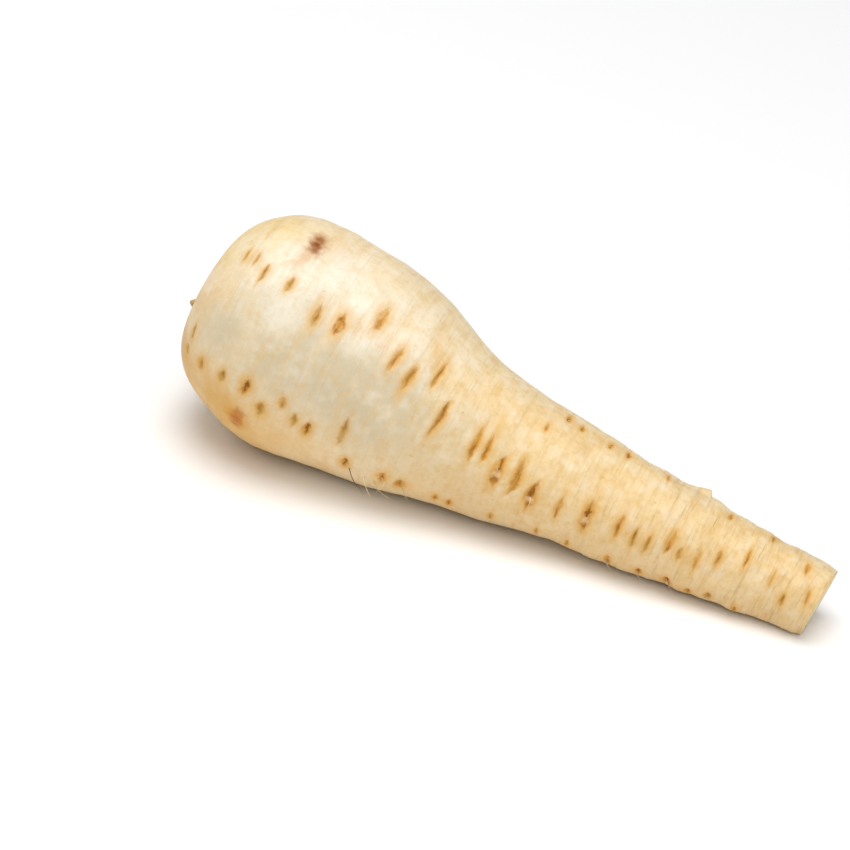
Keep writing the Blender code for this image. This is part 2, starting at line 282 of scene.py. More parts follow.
places, turns = np.meshgrid(np.linspace(0, LENGTH, 400), np.linspace(0, 2 * math.pi, 180))
bare = np.stack(bare_skin_point(places, turns), axis=-1).reshape(-1, 3)
tail = bare[bare[:, 0] > LENGTH - 3 * MM]
tail_low = tail[tail[:, 2].argmin()]
body = bare[bare[:, 0] < LENGTH / 2]
LEAN = float(np.arctan2(tail_low[2] - body[:, 2], tail_low[0] - body[:, 0]).max())
leaned = bare @ np.array(Matrix.Rotation(LEAN, 3, "Y")).T
middle = (leaned.min(0) + leaned.max(0)) / 2
cad_middle = (ROOT_LOW + ROOT_HIGH) / 2
SHIFT = Vector((cad_middle.x - middle[0], cad_middle.y - middle[1], ROOT_HIGH.z - leaned[:, 2].max()))


def lying(x, y, z):
    """Leans and moves a point to where it lies. It works on numbers and on fields."""
    return (x * math.cos(LEAN) + z * math.sin(LEAN) + SHIFT.x, y + SHIFT.y,
            z * math.cos(LEAN) - x * math.sin(LEAN) + SHIFT.z)


def on_skin(place, turn):
    """The point of the bare skin at a place and turn, where the root lies."""
    return Vector(float(v) for v in lying(*bare_skin_point(place, turn)))


print("lean, degrees:", round(math.degrees(LEAN), 2), "lowest point, mm:",
      round(float(leaned[:, 2].min() + SHIFT.z) / MM, 2))

# %% [markdown]
# Side roots leave scars: slits across the root, in four or five rows, brown and corky inside. The rows on
# the face are listed one by one, because each scar there has a character of its own: where it is, how long
# and wide it is and how dark. The hidden rows are drawn by a rule with a fixed seed, so that they come
# out the same each time. A few scars still hold something: a broken rootlet, or a round corky ring where
# a thick one was.

# %% List the scars
# Each is (millimetres from the crown, degrees from the face, half length, half width, darkness).
FACE_ROW = (
    (8.5, 23, 2.2, 0.45, 0.45), (12, 22, 2.0, 0.45, 0.45), (16, 16, 2.8, 0.60, 0.60),
    (24, 17, 2.2, 0.80, 0.80), (34.5, 9, 3.2, 0.90, 0.60), (41, 10, 3.2, 1.05, 0.95),
    (50, 23, 3.6, 1.15, 0.80), (58.5, 10, 3.6, 0.90, 0.70), (64, 5.5, 3.6, 0.95, 0.85),
    (70.5, 17, 4.2, 0.70, 0.70), (76, -4, 5.5, 0.80, 0.85), (87.5, -7, 4.6, 0.95, 0.80),
    (91, -7, 4.2, 0.70, 0.80), (96, -18, 5.0, 1.20, 1.00), (101.5, -19, 5.6, 1.20, 0.75),
    (107, -29, 4.7, 1.20, 1.00), (115, -31, 3.8, 0.70, 0.60), (123, -27, 4.8, 1.10, 1.00),
    (132, -22, 3.5, 0.75, 0.85), (137, -27, 3.0, 0.65, 0.70), (141, -27, 2.5, 0.60, 0.65),
    (146.5, -16, 3.6, 0.85, 0.75), (150, -22, 1.9, 0.90, 0.50), (155, -22, 3.0, 0.60, 0.50),
    (160, -8, 2.4, 0.60, 0.65), (167, 9, 2.8, 0.45, 0.85), (175.5, -2, 2.4, 0.40, 0.35),
    (181, -27, 1.8, 0.55, 0.80), (183, 35, 1.9, 0.55, 0.75), (187, -6, 2.2, 0.55, 0.60))
LOWER_ROW = (
    (5, -34, 2.2, 0.65, 0.45), (5, -50, 1.7, 0.85, 0.35), (10.5, -46, 2.0, 1.00, 0.65),
    (17.5, -41, 2.0, 0.90, 0.65), (25, -38, 2.8, 1.30, 0.97), (31, -46, 2.4, 1.10, 0.72),
    (36, -37, 2.0, 0.90, 0.55), (40.5, -45, 2.4, 0.85, 0.65), (44.5, -48, 2.7, 1.05, 0.97),
    (54, -40, 4.6, 0.85, 0.52), (57, -65, 2.7, 1.00, 0.97), (68, -65, 2.7, 1.05, 0.85),
    (73, -67, 2.4, 1.40, 0.85), (83, -72, 2.0, 0.75, 0.65), (87, -75, 2.0, 0.75, 0.85),
    (99, -74, 2.2, 0.60, 0.50), (112, -76, 2.6, 0.60, 0.50), (121, -78, 2.6, 0.60, 0.55),
    (133, -79, 2.8, 0.80, 0.80), (142, -79, 2.0, 0.80, 0.90), (150, -77, 2.2, 1.00, 0.97),
    (156.5, -82, 1.8, 0.70, 0.80), (162, -73, 1.8, 0.80, 0.60), (170, -80, 1.8, 0.60, 0.60))
UPPER_ROW = (
    (102.5, 32, 1.4, 0.50, 0.60), (106.5, 59, 1.6, 0.60, 0.85), (111, 56, 1.4, 0.60, 0.80),
    (120, 56, 1.5, 0.60, 0.80), (125.5, 59, 1.5, 0.60, 0.85), (138, 60, 1.8, 0.50, 0.50),
    (158, 60, 1.8, 0.50, 0.60), (171, 59, 1.8, 0.50, 0.60))

# The hidden rows: (millimetres from the crown, degrees from the face) of points on each path. Then how far
# apart the scars are, where the last may be and how long they are.
HIDDEN_PATHS = (((0, 140), (60, 128), (110, 150), (150, 140), (190, 152)),
                ((0, 218), (50, 232), (105, 214), (150, 226), (190, 220)))
HIDDEN_SPACING = 6.5
HIDDEN_LAST = 184
HIDDEN_HALF_LENGTH = 3.2
SCAR_SEED = 7

# What a scar holds, by its place: a half stands for a broken rootlet and a whole for a ring.
STUBS = {41: 1.0, 96: 0.5, 107: 0.5, 123: 0.5}


def hidden_row(rng, path):
    """A row of scars by chance: short at the crown, longest at the neck and short again at the tail."""
    row = []
    place = rng.uniform(4, 8)
    while place < HIDDEN_LAST:
        size = 0.55 + 0.75 * math.exp(-((place * MM / LENGTH - 0.5) / 0.28) ** 2)
        degrees = float(curve_through(path, place)) + rng.uniform(-4, 4)
        half_length = HIDDEN_HALF_LENGTH * size * rng.uniform(0.75, 1.25)
        row.append((place, degrees, half_length, rng.uniform(0.5, 1.0), rng.uniform(0.45, 1.0)))
        place += HIDDEN_SPACING * rng.uniform(0.6, 1.5)
    return row


rng = random.Random(SCAR_SEED)
SCARS = list(FACE_ROW + LOWER_ROW + UPPER_ROW)
for path in HIDDEN_PATHS:
    SCARS += hidden_row(rng, path)
print(len(SCARS), "scars in", 3 + len(HIDDEN_PATHS), "rows")

# %% [markdown]
# A tree can read a small helper mesh with one vertex for each scar, if what the tree needs to know is
# stored on the vertices as attributes. Here that is the scar's sizes, how dark it is, what it holds, a
# number by chance that gives it a character, and two directions on the skin there: down the root and
# round it. Each scar also knows the way to the scars next to it, so that the marks of neighbours can meet
# softly. The rings of the root go into a second helper in the same way: how far down, how wide and which
# part of the root each ring belongs to.

# %% Store scars and rings as points
NEIGHBOURS = 6
CHARACTER_SEED = 5
PIT, SKIN, CUT = 0, 1, 2


def point_table(name, points, numbers, directions=None):
    """A helper mesh of loose vertices that carries named values for a tree to read."""
    mesh = bpy.data.meshes.new(name)
    mesh.from_pydata([tuple(p) for p in points], [], [])
    for label, values in numbers.items():
        mesh.attributes.new(label, "FLOAT", "POINT").data.foreach_set("value", np.array(values, np.float32))
    for label, values in (directions or {}).items():
        flat = np.array(values, np.float32).ravel()
        mesh.attributes.new(label, "FLOAT_VECTOR", "POINT").data.foreach_set("vector", flat)
    made = bpy.data.objects.new(name, mesh)
    bpy.context.scene.collection.objects.link(made)
    return made


def on_skin_with_directions(place, turn):
    """A point of the skin, and the directions there down the root and round it."""
    step, swing = 0.5 * MM, 0.03
    down = (on_skin(place + step, turn) - on_skin(place - step, turn)).normalized()
    around = (on_skin(place, turn + swing) - on_skin(place, turn - swing)).normalized()
    return on_skin(place, turn), down, around


def scar_table():
    points, downs, rounds = zip(*(on_skin_with_directions(s[0] * MM, FACE_TURN + math.radians(s[1]))
                                  for s in SCARS))
    rng = random.Random(CHARACTER_SEED)
    numbers = {"half_length": [s[2] * MM for s in SCARS], "half_width": [s[3] * MM for s in SCARS],
               "darkness": [s[4] for s in SCARS], "stub": [STUBS.get(s[0], 0.0) for s in SCARS],
               "character": [rng.random() for _ in SCARS]}
    directions = {"down_root": downs, "round_root": rounds}
    spots = np.array(points)
    gaps = spots[None] - spots[:, None]
    nearest = np.linalg.norm(gaps, axis=2).argsort(axis=1)
    for k in range(NEIGHBOURS):
        directions["neighbour_%d" % k] = gaps[np.arange(len(spots)), nearest[:, k + 1]]
    return point_table("scar_points", points, numbers, directions)


def ring_table(name, rings):
    """A helper mesh with a point for each ring (place, radius, part), and how far off the axis is there."""
    places = np.array([r[0] for r in rings])
    low, back = axis_offsets(places)
    return point_table(name, [(0, 0, k * MM) for k in range(len(rings))], {
        "place": places, "radius": [r[1] for r in rings], "part": [float(r[2]) for r in rings],
        "low": low, "back": back})


def root_rings(shoulder_rings=56, body_rings=378, cut_rings=12, cut_edge=0.35 * MM):
    """Rings from the middle of the crown's pit, over the rim and down the skin, to the middle of the cut."""
    rings = [(PIT_DEPTH, PIT_FLOOR_RADIUS * k / 5, PIT) for k in range(6)]
    rings += [(PIT_DEPTH - 0.4 * MM, PIT_FLOOR_RADIUS + 0.3 * MM, PIT), (2.6 * MM, 12.2 * MM, PIT),
              (1.2 * MM, PIT_MOUTH_RADIUS, PIT), (0.25 * MM, (PIT_MOUTH_RADIUS + RIM_RADIUS) / 2, PIT)]
    for k in range(shoulder_rings):
        place = SHOULDER_PLACE * (1 - math.cos(math.pi / 2 * k / shoulder_rings))
        rings.append((place, float(skin_radius(place)), SKIN))
    for place in np.linspace(SHOULDER_PLACE, LENGTH - cut_edge, body_rings):
        rings.append((place, float(skin_radius(place)), SKIN))
    edge = float(skin_radius(LENGTH))
    rings += [(LENGTH - 0.1 * MM, edge - 0.08 * MM, SKIN), (LENGTH, edge - cut_edge, CUT)]
    return rings + [(LENGTH, (edge - cut_edge) * (1 - k / cut_rings), CUT) for k in range(1, cut_rings + 1)]


RINGS = root_rings()
ring_points = ring_table("ring_points", RINGS)
scar_points = scar_table()
print(len(RINGS), "rings and", len(SCARS), "scars stored")

# %% [markdown]
# Node trees are clearer with a few short helpers: one adds a node and fills its inputs, one reads an
# attribute, and one turns a finished tree's result into a plain mesh. That last step matters, because the
# part has to be a real mesh in the end, with no live modifier, and with its instances made real.

# %% Helpers for node trees
def add(tree, kind, values=None, **settings):
    """Adds a node, sets its properties, then links or sets its inputs by name or number."""
    node = tree.nodes.new(kind)
    for label, value in settings.items():
        setattr(node, label, value)
    for label, value in (values or {}).items():
        plug(tree, value, node.inputs[label])
    return node


def out(node, label=0):
    return Field(node.outputs[label])


def new_tree(name, inputs):
    """An empty Geometry Nodes tree and its inputs as fields. The inputs are (name, socket kind, value)."""
    tree = bpy.data.node_groups.new(name, "GeometryNodeTree")
    tree.is_modifier = True
    tree.interface.new_socket("Geometry", in_out="INPUT", socket_type="NodeSocketGeometry")
    for label, kind, value in inputs:
        socket = tree.interface.new_socket(label, in_out="INPUT", socket_type="NodeSocket" + kind)
        if value is not None:
            socket.default_value = value
    tree.interface.new_socket("Geometry", in_out="OUTPUT", socket_type="NodeSocketGeometry")
    given = tree.nodes.new("NodeGroupInput")
    return tree, {s.name: Field(s) for s in given.outputs if s.name}


def named(tree, label, data_type="FLOAT"):
    return out(add(tree, "GeometryNodeInputNamedAttribute", {"Name": label}, data_type=data_type))


def store(tree, geometry, label, value):
    return out(add(tree, "GeometryNodeStoreNamedAttribute",
                   {"Geometry": geometry, "Name": label, "Value": value}, data_type="FLOAT", domain="POINT"))


def vector_of(tree, x, y, z):
    return out(add(tree, "ShaderNodeCombineXYZ", {"X": x, "Y": y, "Z": z}))


def vector_sum(tree, operation, a, b, label="Vector"):
    node = tree.nodes.new("ShaderNodeVectorMath")
    node.operation = operation
    plug(tree, a, node.inputs[0])
    plug(tree, b, node.inputs["Scale"] if operation == "SCALE" else node.inputs[1])
    return out(node, label)


def position(tree):
    return out(add(tree, "GeometryNodeInputPosition"))


def parts_of(tree, vector):
    """The x, y and z of a vector."""
    node = add(tree, "ShaderNodeSeparateXYZ", {0: vector})
    return out(node, "X"), out(node, "Y"), out(node, "Z")


def moved(tree, geometry, how, vector):
    """Moves every point, to a Position or by an Offset."""
    return out(add(tree, "GeometryNodeSetPosition", {"Geometry": geometry, how: vector}))


def welded(tree, geometry):
    return out(add(tree, "GeometryNodeMergeByDistance", {"Geometry": geometry, "Distance": 0.001 * MM}))


def finish_tree(tree, geometry, material, others=()):
    """Smooth shading, instances made real, then the material. Others are (material, selection)."""
    shape = out(add(tree, "GeometryNodeSetShadeSmooth", {"Geometry": geometry}))
    shape = out(add(tree, "GeometryNodeRealizeInstances", {"Geometry": shape}))
    for finish, where in ((material, True), *others):
        shape = out(add(tree, "GeometryNodeSetMaterial",
                        {"Geometry": shape, "Selection": where, "Material": finish}))
    plug(tree, shape, tree.nodes.new("NodeGroupOutput").inputs[0])


def grow(name, tree, values, base=None):
    """Runs a tree on an object and keeps its result as a plain mesh at the origin."""
    holder = bpy.data.objects.new(name, base or bpy.data.meshes.new(name))
    bpy.context.scene.collection.objects.link(holder)
    modifier = holder.modifiers.new("grow", "NODES")
    modifier.node_group = tree
    sockets = {s.name: s.identifier for s in tree.interface.items_tree if s.in_out == "INPUT"}
    for label, value in values.items():
        modifier[sockets[label]] = value
    evaluated = holder.evaluated_get(bpy.context.evaluated_depsgraph_get())
    mesh = bpy.data.meshes.new_from_object(evaluated)
    holder.modifiers.remove(modifier)
    holder.data = mesh
    while None in mesh.materials[:]:
        mesh.materials.pop(index=mesh.materials[:].index(None))
    return holder


print("tree helpers ready")

# %% [markdown]
# The finishes come before the shapes, so that each tree can end by setting its own. Real skin is never
# one colour: earth, bruises and growth give it broad soft patches, fine grain and darker marks. Grain is
# in every finish, and the soft stain is used many times over in one, so each is a node group with named
# inputs, built once. A group puts out only masks and heights; the Principled shader stays in each
# material, with its own roughness and softness.

# %% Shared effects: grain and stain
def colour(red, green, blue):
    """A colour as seen on screen, 0 to 255, turned into the linear values that a shader needs."""
    def linear(value):
        return ((value / 255 + 0.055) / 1.055) ** 2.4 if value > 10 else value / 255 / 12.92
    return linear(red), linear(green), linear(blue), 1


def new_group(name, inputs, outputs):
    group = bpy.data.node_groups.new(name, "ShaderNodeTree")
    for label, kind, value in inputs:
        socket = group.interface.new_socket(label, in_out="INPUT", socket_type="NodeSocket" + kind)
        socket.default_value = value
    for label in outputs:
        group.interface.new_socket(label, in_out="OUTPUT", socket_type="NodeSocketFloat")
    given = group.nodes.new("NodeGroupInput")
    return group, {s.name: Field(s) for s in given.outputs if s.name}, group.nodes.new("NodeGroupOutput")


def noise(tree, where, scale, detail=3.0, roughness=0.5):
    return out(add(tree, "ShaderNodeTexNoise",
                   {"Vector": where, "Scale": scale, "Detail": detail, "Roughness": roughness}), 0)


def grain_group():
    """Fine grain of plant skin: a speckle for the colour and a height for the bump."""
    group, given, result = new_group("plant_grain", (
        ("Vector", "Vector", (0, 0, 0)), ("Fineness", "Float", 1.0)), ("Speckle", "Height"))
    fine = noise(group, given["Vector"], given["Fineness"] * 1600, 3.0, 0.6)
    coarse = noise(group, given["Vector"], given["Fineness"] * 420, 3.0, 0.55)
    plug(group, smooth_step(fine, 0.42, 0.72), result.inputs["Speckle"])
    plug(group, 0.45 * fine + 0.55 * coarse, result.inputs["Height"])
    return group


def stain_group():
    """A soft round stain with a broken edge, about a centre."""
    group, given, result = new_group("soft_stain", (
        ("Vector", "Vector", (0, 0, 0)), ("Centre", "Vector", (0, 0, 0)),
        ("Radius", "Float", 0.003)), ("Mask",))
    distance = vector_sum(group, "DISTANCE", given["Vector"], given["Centre"], "Value") / given["Radius"]
    ragged = distance + 0.9 * (noise(group, given["Vector"], 620.0) - 0.5)
    plug(group, 1 - smooth_step(ragged, 0.10, 1.30), result.inputs["Mask"])
    return group


GRAIN, STAIN = grain_group(), stain_group()


def use_group(tree, group, values):
    node = add(tree, "ShaderNodeGroup", node_tree=group)
    for label, value in values.items():
        plug(tree, value, node.inputs[label])
    return node


print("effects:", GRAIN.name, STAIN.name)

# %% [markdown]
# A finish is built from layers, as a painter would: a ground colour, broad patches over it, then marks.
# Each layer is one Mix node whose factor is a mask. These helpers keep the layers short to write.

# %% Helpers for finishes
def mix(tree, mask, under, over):
    """Lays one colour over another where the mask is 1."""
    node = add(tree, "ShaderNodeMix", data_type="RGBA")
    plug(tree, mask, node.inputs["Factor"])
    plug(tree, under, node.inputs[6])
    plug(tree, over, node.inputs[7])
    return out(node, 2)


def stored(tree, label):
    return out(add(tree, "ShaderNodeAttribute", attribute_name=label), "Fac")


def object_place(tree):
    return out(add(tree, "ShaderNodeTexCoord"), "Object")


def new_finish(name, roughness, **shader_values):
    """A material and its Principled shader. Values that are the same all over go on the shader itself."""
    material = bpy.data.materials.new(name)
    material.use_nodes = True
    shader = material.node_tree.nodes["Principled BSDF"]
    shader.inputs["Roughness"].default_value = roughness
    for label, value in shader_values.items():
        shader.inputs[label.replace("_", " ")].default_value = value
    return material, material.node_tree, shader


def bump(tree, shader, height, distance, strength=1.0):
    node = add(tree, "ShaderNodeBump", {"Height": height, "Distance": distance, "Strength": strength})
    plug(tree, out(node), shader.inputs["Normal"])


print("layer helpers ready")

# %% [markdown]
# The skin is thin and pale: cream, with warmer yellow towards the tail and the crown's edge, greyer on
# the shoulder's face and orange on its low side. Some of these bands follow the side that light falls on
# and carry painted light: the grey is partly painted shade, a paler band over the shoulder's upper side
# is partly a painted highlight, a darker beige along the top is painted shade, the tan low on the neck
# is partly painted shade, and the orange low on the shoulder and the tan at the crown's low edge are
# partly painted warm reflected light. These are broad bands that run into each other, so each is a mask
# made from two stored values: how far down the root a point is, and how far up its side. A slow noise is
# added to both first, so that no band ends in a straight line.

# %% Skin: the ground colour
CREAM = (240, 220, 182)
NECK_CREAM = (236, 208, 158)
# A pale tone of the skin, and also a painted highlight where the ground lays it over the shoulder's upper
# side.
PALE = (243, 236, 218)
# Partly the skin's own tint, and partly painted shade where the ground lays it on the shoulder's lower face.
GREY = (199, 187, 160)
RIM_YELLOW = (240, 213, 146)
# Painted shade: a darker beige along the top edge, where the light falls away.
TOP_EDGE_PAINTED_SHADE = (232, 214, 178)
# Partly the skin's tint and partly painted warm reflected light, low on the shoulder.
LOW_ORANGE_AND_PAINTED_REFLECTION = (212, 156, 48)
# Partly the skin's tint and partly painted shade on the neck's low side.
LOW_TAN_AND_PAINTED_SHADE = (215, 188, 148)
# Partly the crown's tint and partly painted warm reflected light at its low edge.
CROWN_TAN_AND_PAINTED_REFLECTION = (218, 180, 126)


def band(x, start, full, fade, end):
    """A mask that rises from start to full and falls again from fade to end."""
    return smooth_step(x, start, full) * (1 - smooth_step(x, fade, end))


def skin_ground(tree, where, place, top_side):
    """Cream and yellower down the neck, with bands by side that hold painted light: partly painted shade in
    the grey and the low tan, a partly painted highlight above, painted shade along the top, and partly
    painted warm reflected light in the low orange and the crown's tan.
    """
    drift = noise(tree, where, 45.0, 4.0, 0.6) - 0.5
    other = noise(tree, vector_sum(tree, "ADD", where, (0.31, 0.17, 0.05)), 60.0, 4.0, 0.6) - 0.5
    side, share = top_side + 1.0 * drift, place / LENGTH + 0.22 * other
    layers = ((smooth_step(share, 0.28, 0.48), NECK_CREAM),
              # Paler over the shoulder's upper side: partly the skin's tone, partly a painted highlight.
              (0.9 * band(side, -0.25, 0.2, 0.5, 0.9) * band(share, 0.0, 0.12, 0.22, 0.45), PALE),
              # Greyer on the shoulder's lower face: partly the skin's tint, partly painted shade.
              (0.8 * band(side, -0.95, -0.35, -0.1, 0.45) * band(share, -0.02, 0.14, 0.30, 0.58), GREY),
              (0.7 * smooth_step(side, 0.1, 0.5) * (1 - smooth_step(share, 0.03, 0.12)), RIM_YELLOW),
              # Painted shade along the top edge of the body.
              (0.7 * smooth_step(side, 0.6, 0.95) * smooth_step(share, 0.18, 0.34), TOP_EDGE_PAINTED_SHADE),
              # Orange low on the shoulder: partly the skin's tint, partly painted warm reflected light.
              (0.85 * smooth_step(-side, 0.60, 1.05) * (1 - smooth_step(share, 0.10, 0.36)), LOW_ORANGE_AND_PAINTED_REFLECTION),
              # Tan at the crown's low edge: partly the crown's tint, partly painted warm reflected light.
              (0.75 * (1 - smooth_step(share, 0.0, 0.07)) * (1 - smooth_step(side, -0.3, 0.4)), CROWN_TAN_AND_PAINTED_REFLECTION),
              # Tan low on the neck: partly the skin's tint, partly painted shade.
              (0.6 * smooth_step(-side, 0.45, 0.95) * smooth_step(share, 0.2, 0.5), LOW_TAN_AND_PAINTED_SHADE))
    ground = colour(*CREAM)
    for mask, tint in layers:
        ground = mix(tree, mask, ground, colour(*tint))
    return ground


print("ground: colours from", CREAM, "to", LOW_TAN_AND_PAINTED_SHADE)

# %% [markdown]
# Over the ground lie soft spots a few millimetres wide, and marks that run round the root, where the skin
# was stretched as it grew and healed again. Both get stronger towards the tail. The marks need no path of
# their own: a noise that is read with the place down the root on one axis, and the turn round it on the
# others, comes out fine down the root and long round it.

# %% Skin: spots and cross lines
MOTTLE = (218, 180, 114)
STREAK = (224, 184, 118)
LINE = (204, 160, 90)
EARTH = (154, 92, 8)


def mottling(tree, ground, where, share, top_side):
    """Soft spots a few millimetres wide, stronger down the neck, and a few specks of earth."""
    spots = smooth_step(noise(tree, where, 240.0, 3.0, 0.6), 0.44, 0.72)
    small_spots = noise(tree, vector_sum(tree, "ADD", where, (0.2, 0.1, 0.3)), 520.0, 2.0)
    pale_spots = noise(tree, vector_sum(tree, "ADD", where, (0.1, 0.4, 0.2)), 230.0, 2.0)
    specks = smooth_step(noise(tree, where, 950.0, 1.0), 0.76, 0.80)
    strength = 0.24 + 0.28 * smooth_step(share, 0.25, 0.55)
    pale_strength = 0.45 * smooth_step(top_side, -0.9, -0.3)
    ground = mix(tree, spots * strength, ground, colour(*MOTTLE))
    ground = mix(tree, smooth_step(small_spots, 0.45, 0.75) * strength, ground, colour(*MOTTLE))
    ground = mix(tree, smooth_step(pale_spots, 0.40, 0.82) * pale_strength, ground, colour(*PALE))
    return mix(tree, specks * 0.25, ground, colour(*EARTH))


def cross_lines(tree, place, face_side, top_side, fineness, start, end):
    """Soft marks that run round the root, where the skin stretched and healed."""
    where = vector_of(tree, place * (fineness / MM), 1.1 * face_side, 1.1 * top_side)
    return smooth_step(noise(tree, where, 1.0, 3.0, 0.5), start, end)


print("spots and cross lines ready")

# %% [markdown]
# The slits are brown and corky. Round each lies a soft orange glow, and a faint trail runs on from both
# of its ends. Every mask here is drawn from the values that the root's tree stores on the mesh: how far a
# point is from its scar's middle, along the root and across it, as shares of the scar's own half width
# and half length. So the paint follows the pressed dents exactly. A noise breaks up the outlines, and the
# scar's character shifts its dark core and turns some slits olive, so that no two look alike.

# %% Skin: the scars
GLOW = (216, 166, 88)
HALO = (228, 178, 92)
TRAIL = (214, 160, 68)
SLIT = (196, 132, 30)
OLIVE = (162, 126, 30)
CORE = (154, 92, 8)
CRACK = (120, 64, 8)
STUB_PALE = (242, 204, 152)
RING = (146, 88, 10)


def scar_layers(tree, ground, where):
    """Glow, halo, trail, the brown spindle, its dark core, a deep scar's crack and a rootlet's stub."""
    wobble = 0.9 * (noise(tree, where, 800.0, 3.0, 0.6) - 0.5) + 1.1 * (noise(tree, where, 320.0, 1.0) - 0.5)
    # Across the slit's width a is 0 in its middle, and along its length c is.
    a = stored(tree, "scar_along") / 1.4 + wobble
    c = stored(tree, "scar_across") + 0.45 * (noise(tree, where, 500.0, 3.0, 0.6) - 0.5)
    dark, stub = stored(tree, "scar_darkness"), stored(tree, "scar_stub")
    character, near = stored(tree, "scar_character"), stored(tree, "scar_near")
    end = absolute(c)
    fibres = noise(tree, vector_of(tree, 1.5 * a, 0.8 * c, 20 * character), 1.6, 2.0)
    fibres = smooth_step(fibres, 0.32, 0.68)

    # The slit is a spindle: its width narrows towards its ends.
    spindle = absolute(a) / (larger(1 - c * c / 1.44, 0.03) ** 0.9)
    halo = exp(-(a * a) / 4.5 - c * c / 2.0) * (0.3 + 0.7 * dark) * near
    trail = exp(-(a * a) / (0.5 + 0.6 * dark)) * (1 - smooth_step(end, 0.4, 2.6)) * (0.4 + 0.6 * dark) * near
    slit = (1 - smooth_step(spindle, 0.0, 1.4)) * (1 - smooth_step(end, 0.7, 1.35)) * near
    off = c - 0.9 * (character - 0.5)
    core = exp(-(a * a) / 0.16 - off * off / (0.16 + 0.30 * character)) * smooth_step(dark, 0.2, 0.7) * near

    # What the scar holds: a round corky ring, a torn crack or the pale stub of a rootlet.
    ring, holds_stub = smooth_step(stub, 0.6, 0.9), smooth_step(stub, 0.1, 0.4)
    oval = (a * a + 1.7 * c * c) ** 0.5 + 0.7 * (noise(tree, where, 600.0, 2.0) - 0.5)
    ring_line = (1 - smooth_step(absolute(oval - 0.80), 0.0, 0.42)) * ring * (0.35 + 0.65 * fibres) * near
    jagged = a + 1.3 * (noise(tree, where, 460.0, 2.0) - 0.5)
    crack = (1 - smooth_step(absolute(jagged), 0.04, 0.45)) * smooth_step(dark, 0.78, 0.98)
    crack = crack * (1 - smooth_step(end, 0.4, 1.0)) * (1 - ring) * near
    stub_across = (c + 0.3) * 2.4
    from_stub = (a * a + stub_across * stub_across) ** 0.5
    nub = holds_stub * (1 - ring) * (1 - smooth_step(from_stub, 0.2, 0.9)) * near

    olive = smooth_step(character, 0.45, 0.9) * (1 - smooth_step(dark, 0.7, 0.95))
    slit_tint = mix(tree, olive, colour(*SLIT), colour(*OLIVE))
    glow = smooth_step(stored(tree, "scar_glow"), 0.1, 1.9)
    layers = ((0.55 * glow, colour(*GLOW)), (0.55 * halo, colour(*HALO)),
              (0.75 * trail * (0.5 + 0.5 * fibres), colour(*TRAIL)),
              (0.85 * slit * (0.35 + 0.65 * dark) * (0.6 + 0.4 * fibres), slit_tint),
              (0.85 * core * (1 - 0.7 * ring) * (0.45 + 0.55 * fibres), colour(*CORE)),
              (0.8 * nub, colour(*STUB_PALE)), (0.8 * ring_line, colour(*RING)),
              (0.75 * crack * (1 - 0.8 * nub), colour(*CRACK)))
    for mask, tint in layers:
        ground = mix(tree, mask, ground, tint)
    return ground, slit


print("scar layers ready")

# %% [markdown]
# Some marks belong to this one root and follow no rule: a long bruise with a dark middle, an orange spot
# low on the shoulder, and a few patches that are paler, greyer or warmer. They are listed one by one, and
# each is a soft round stain about a point of the skin. Several small ones in a line make a long one.

# %% Skin: stains
GREY_BROWN = (190, 122, 50)
DARK_BRUISE = (134, 66, 0)
ORANGE_BROWN = (210, 142, 24)
ORANGE_SPOT = (180, 100, 0)

# Each is (millimetres from the crown, degrees from the face, radius in millimetres, tint, strength).
BRUISE = (
    (24.4, 40, 3.3, GREY_BROWN, 0.60), (24.2, 46, 3.4, GREY_BROWN, 0.65),
    (24.0, 52, 3.3, GREY_BROWN, 0.60), (23.6, 34, 3.0, ORANGE_BROWN, 0.35),
    (23.0, 28, 2.8, ORANGE_BROWN, 0.25), (29, 52, 7.0, GLOW, 0.20), (24.4, 41, 1.8, DARK_BRUISE, 0.65),
    (24.1, 45.5, 2.1, DARK_BRUISE, 0.95), (23.9, 50.5, 1.9, DARK_BRUISE, 0.7))
PATCHES = (
    (26, 2, 7.0, PALE, 0.55), (44, 14, 4.2, GLOW, 0.40), (69, 27, 4.5, GLOW, 0.30),
    (12, -20, 10.0, GREY, 0.50))
LOW_SPOT = (
    (25, -62, 5.4, ORANGE_BROWN, 0.75), (25.4, -56, 2.3, ORANGE_SPOT, 0.65),
    (25.2, -62, 2.4, ORANGE_SPOT, 0.90), (25.0, -68, 2.3, ORANGE_SPOT, 0.65))
OTHERS = (
    (5, -40, 2.2, ORANGE_BROWN, 0.30), (70, 190, 4.5, GREY_BROWN, 0.5), (40, 150, 3.4, ORANGE_BROWN, 0.5))
STAINS = BRUISE + PATCHES + LOW_SPOT + OTHERS


def stained(tree, ground, where):
    for place, degrees, radius, tint, strength in STAINS:
        centre = on_skin(place * MM, FACE_TURN + math.radians(degrees))
        stain = use_group(tree, STAIN, {"Vector": where, "Centre": centre, "Radius": radius * MM})
        ground = mix(tree, strength * out(stain, "Mask"), ground, colour(*tint))
    return ground


print(len(STAINS), "stains")

# %% [markdown]
# Now the layers are laid one over another, from the ground up to the scars. The same masks that colour
# the lines also lower the bump, so light catches what the eye sees. A slit is rougher than skin, so its
# mask raises the roughness too. Light goes a little way into the flesh, so the shader has some
# subsurface, and its gloss is low.

# %% Finish: skin
RIM_BROWN = (196, 150, 94)


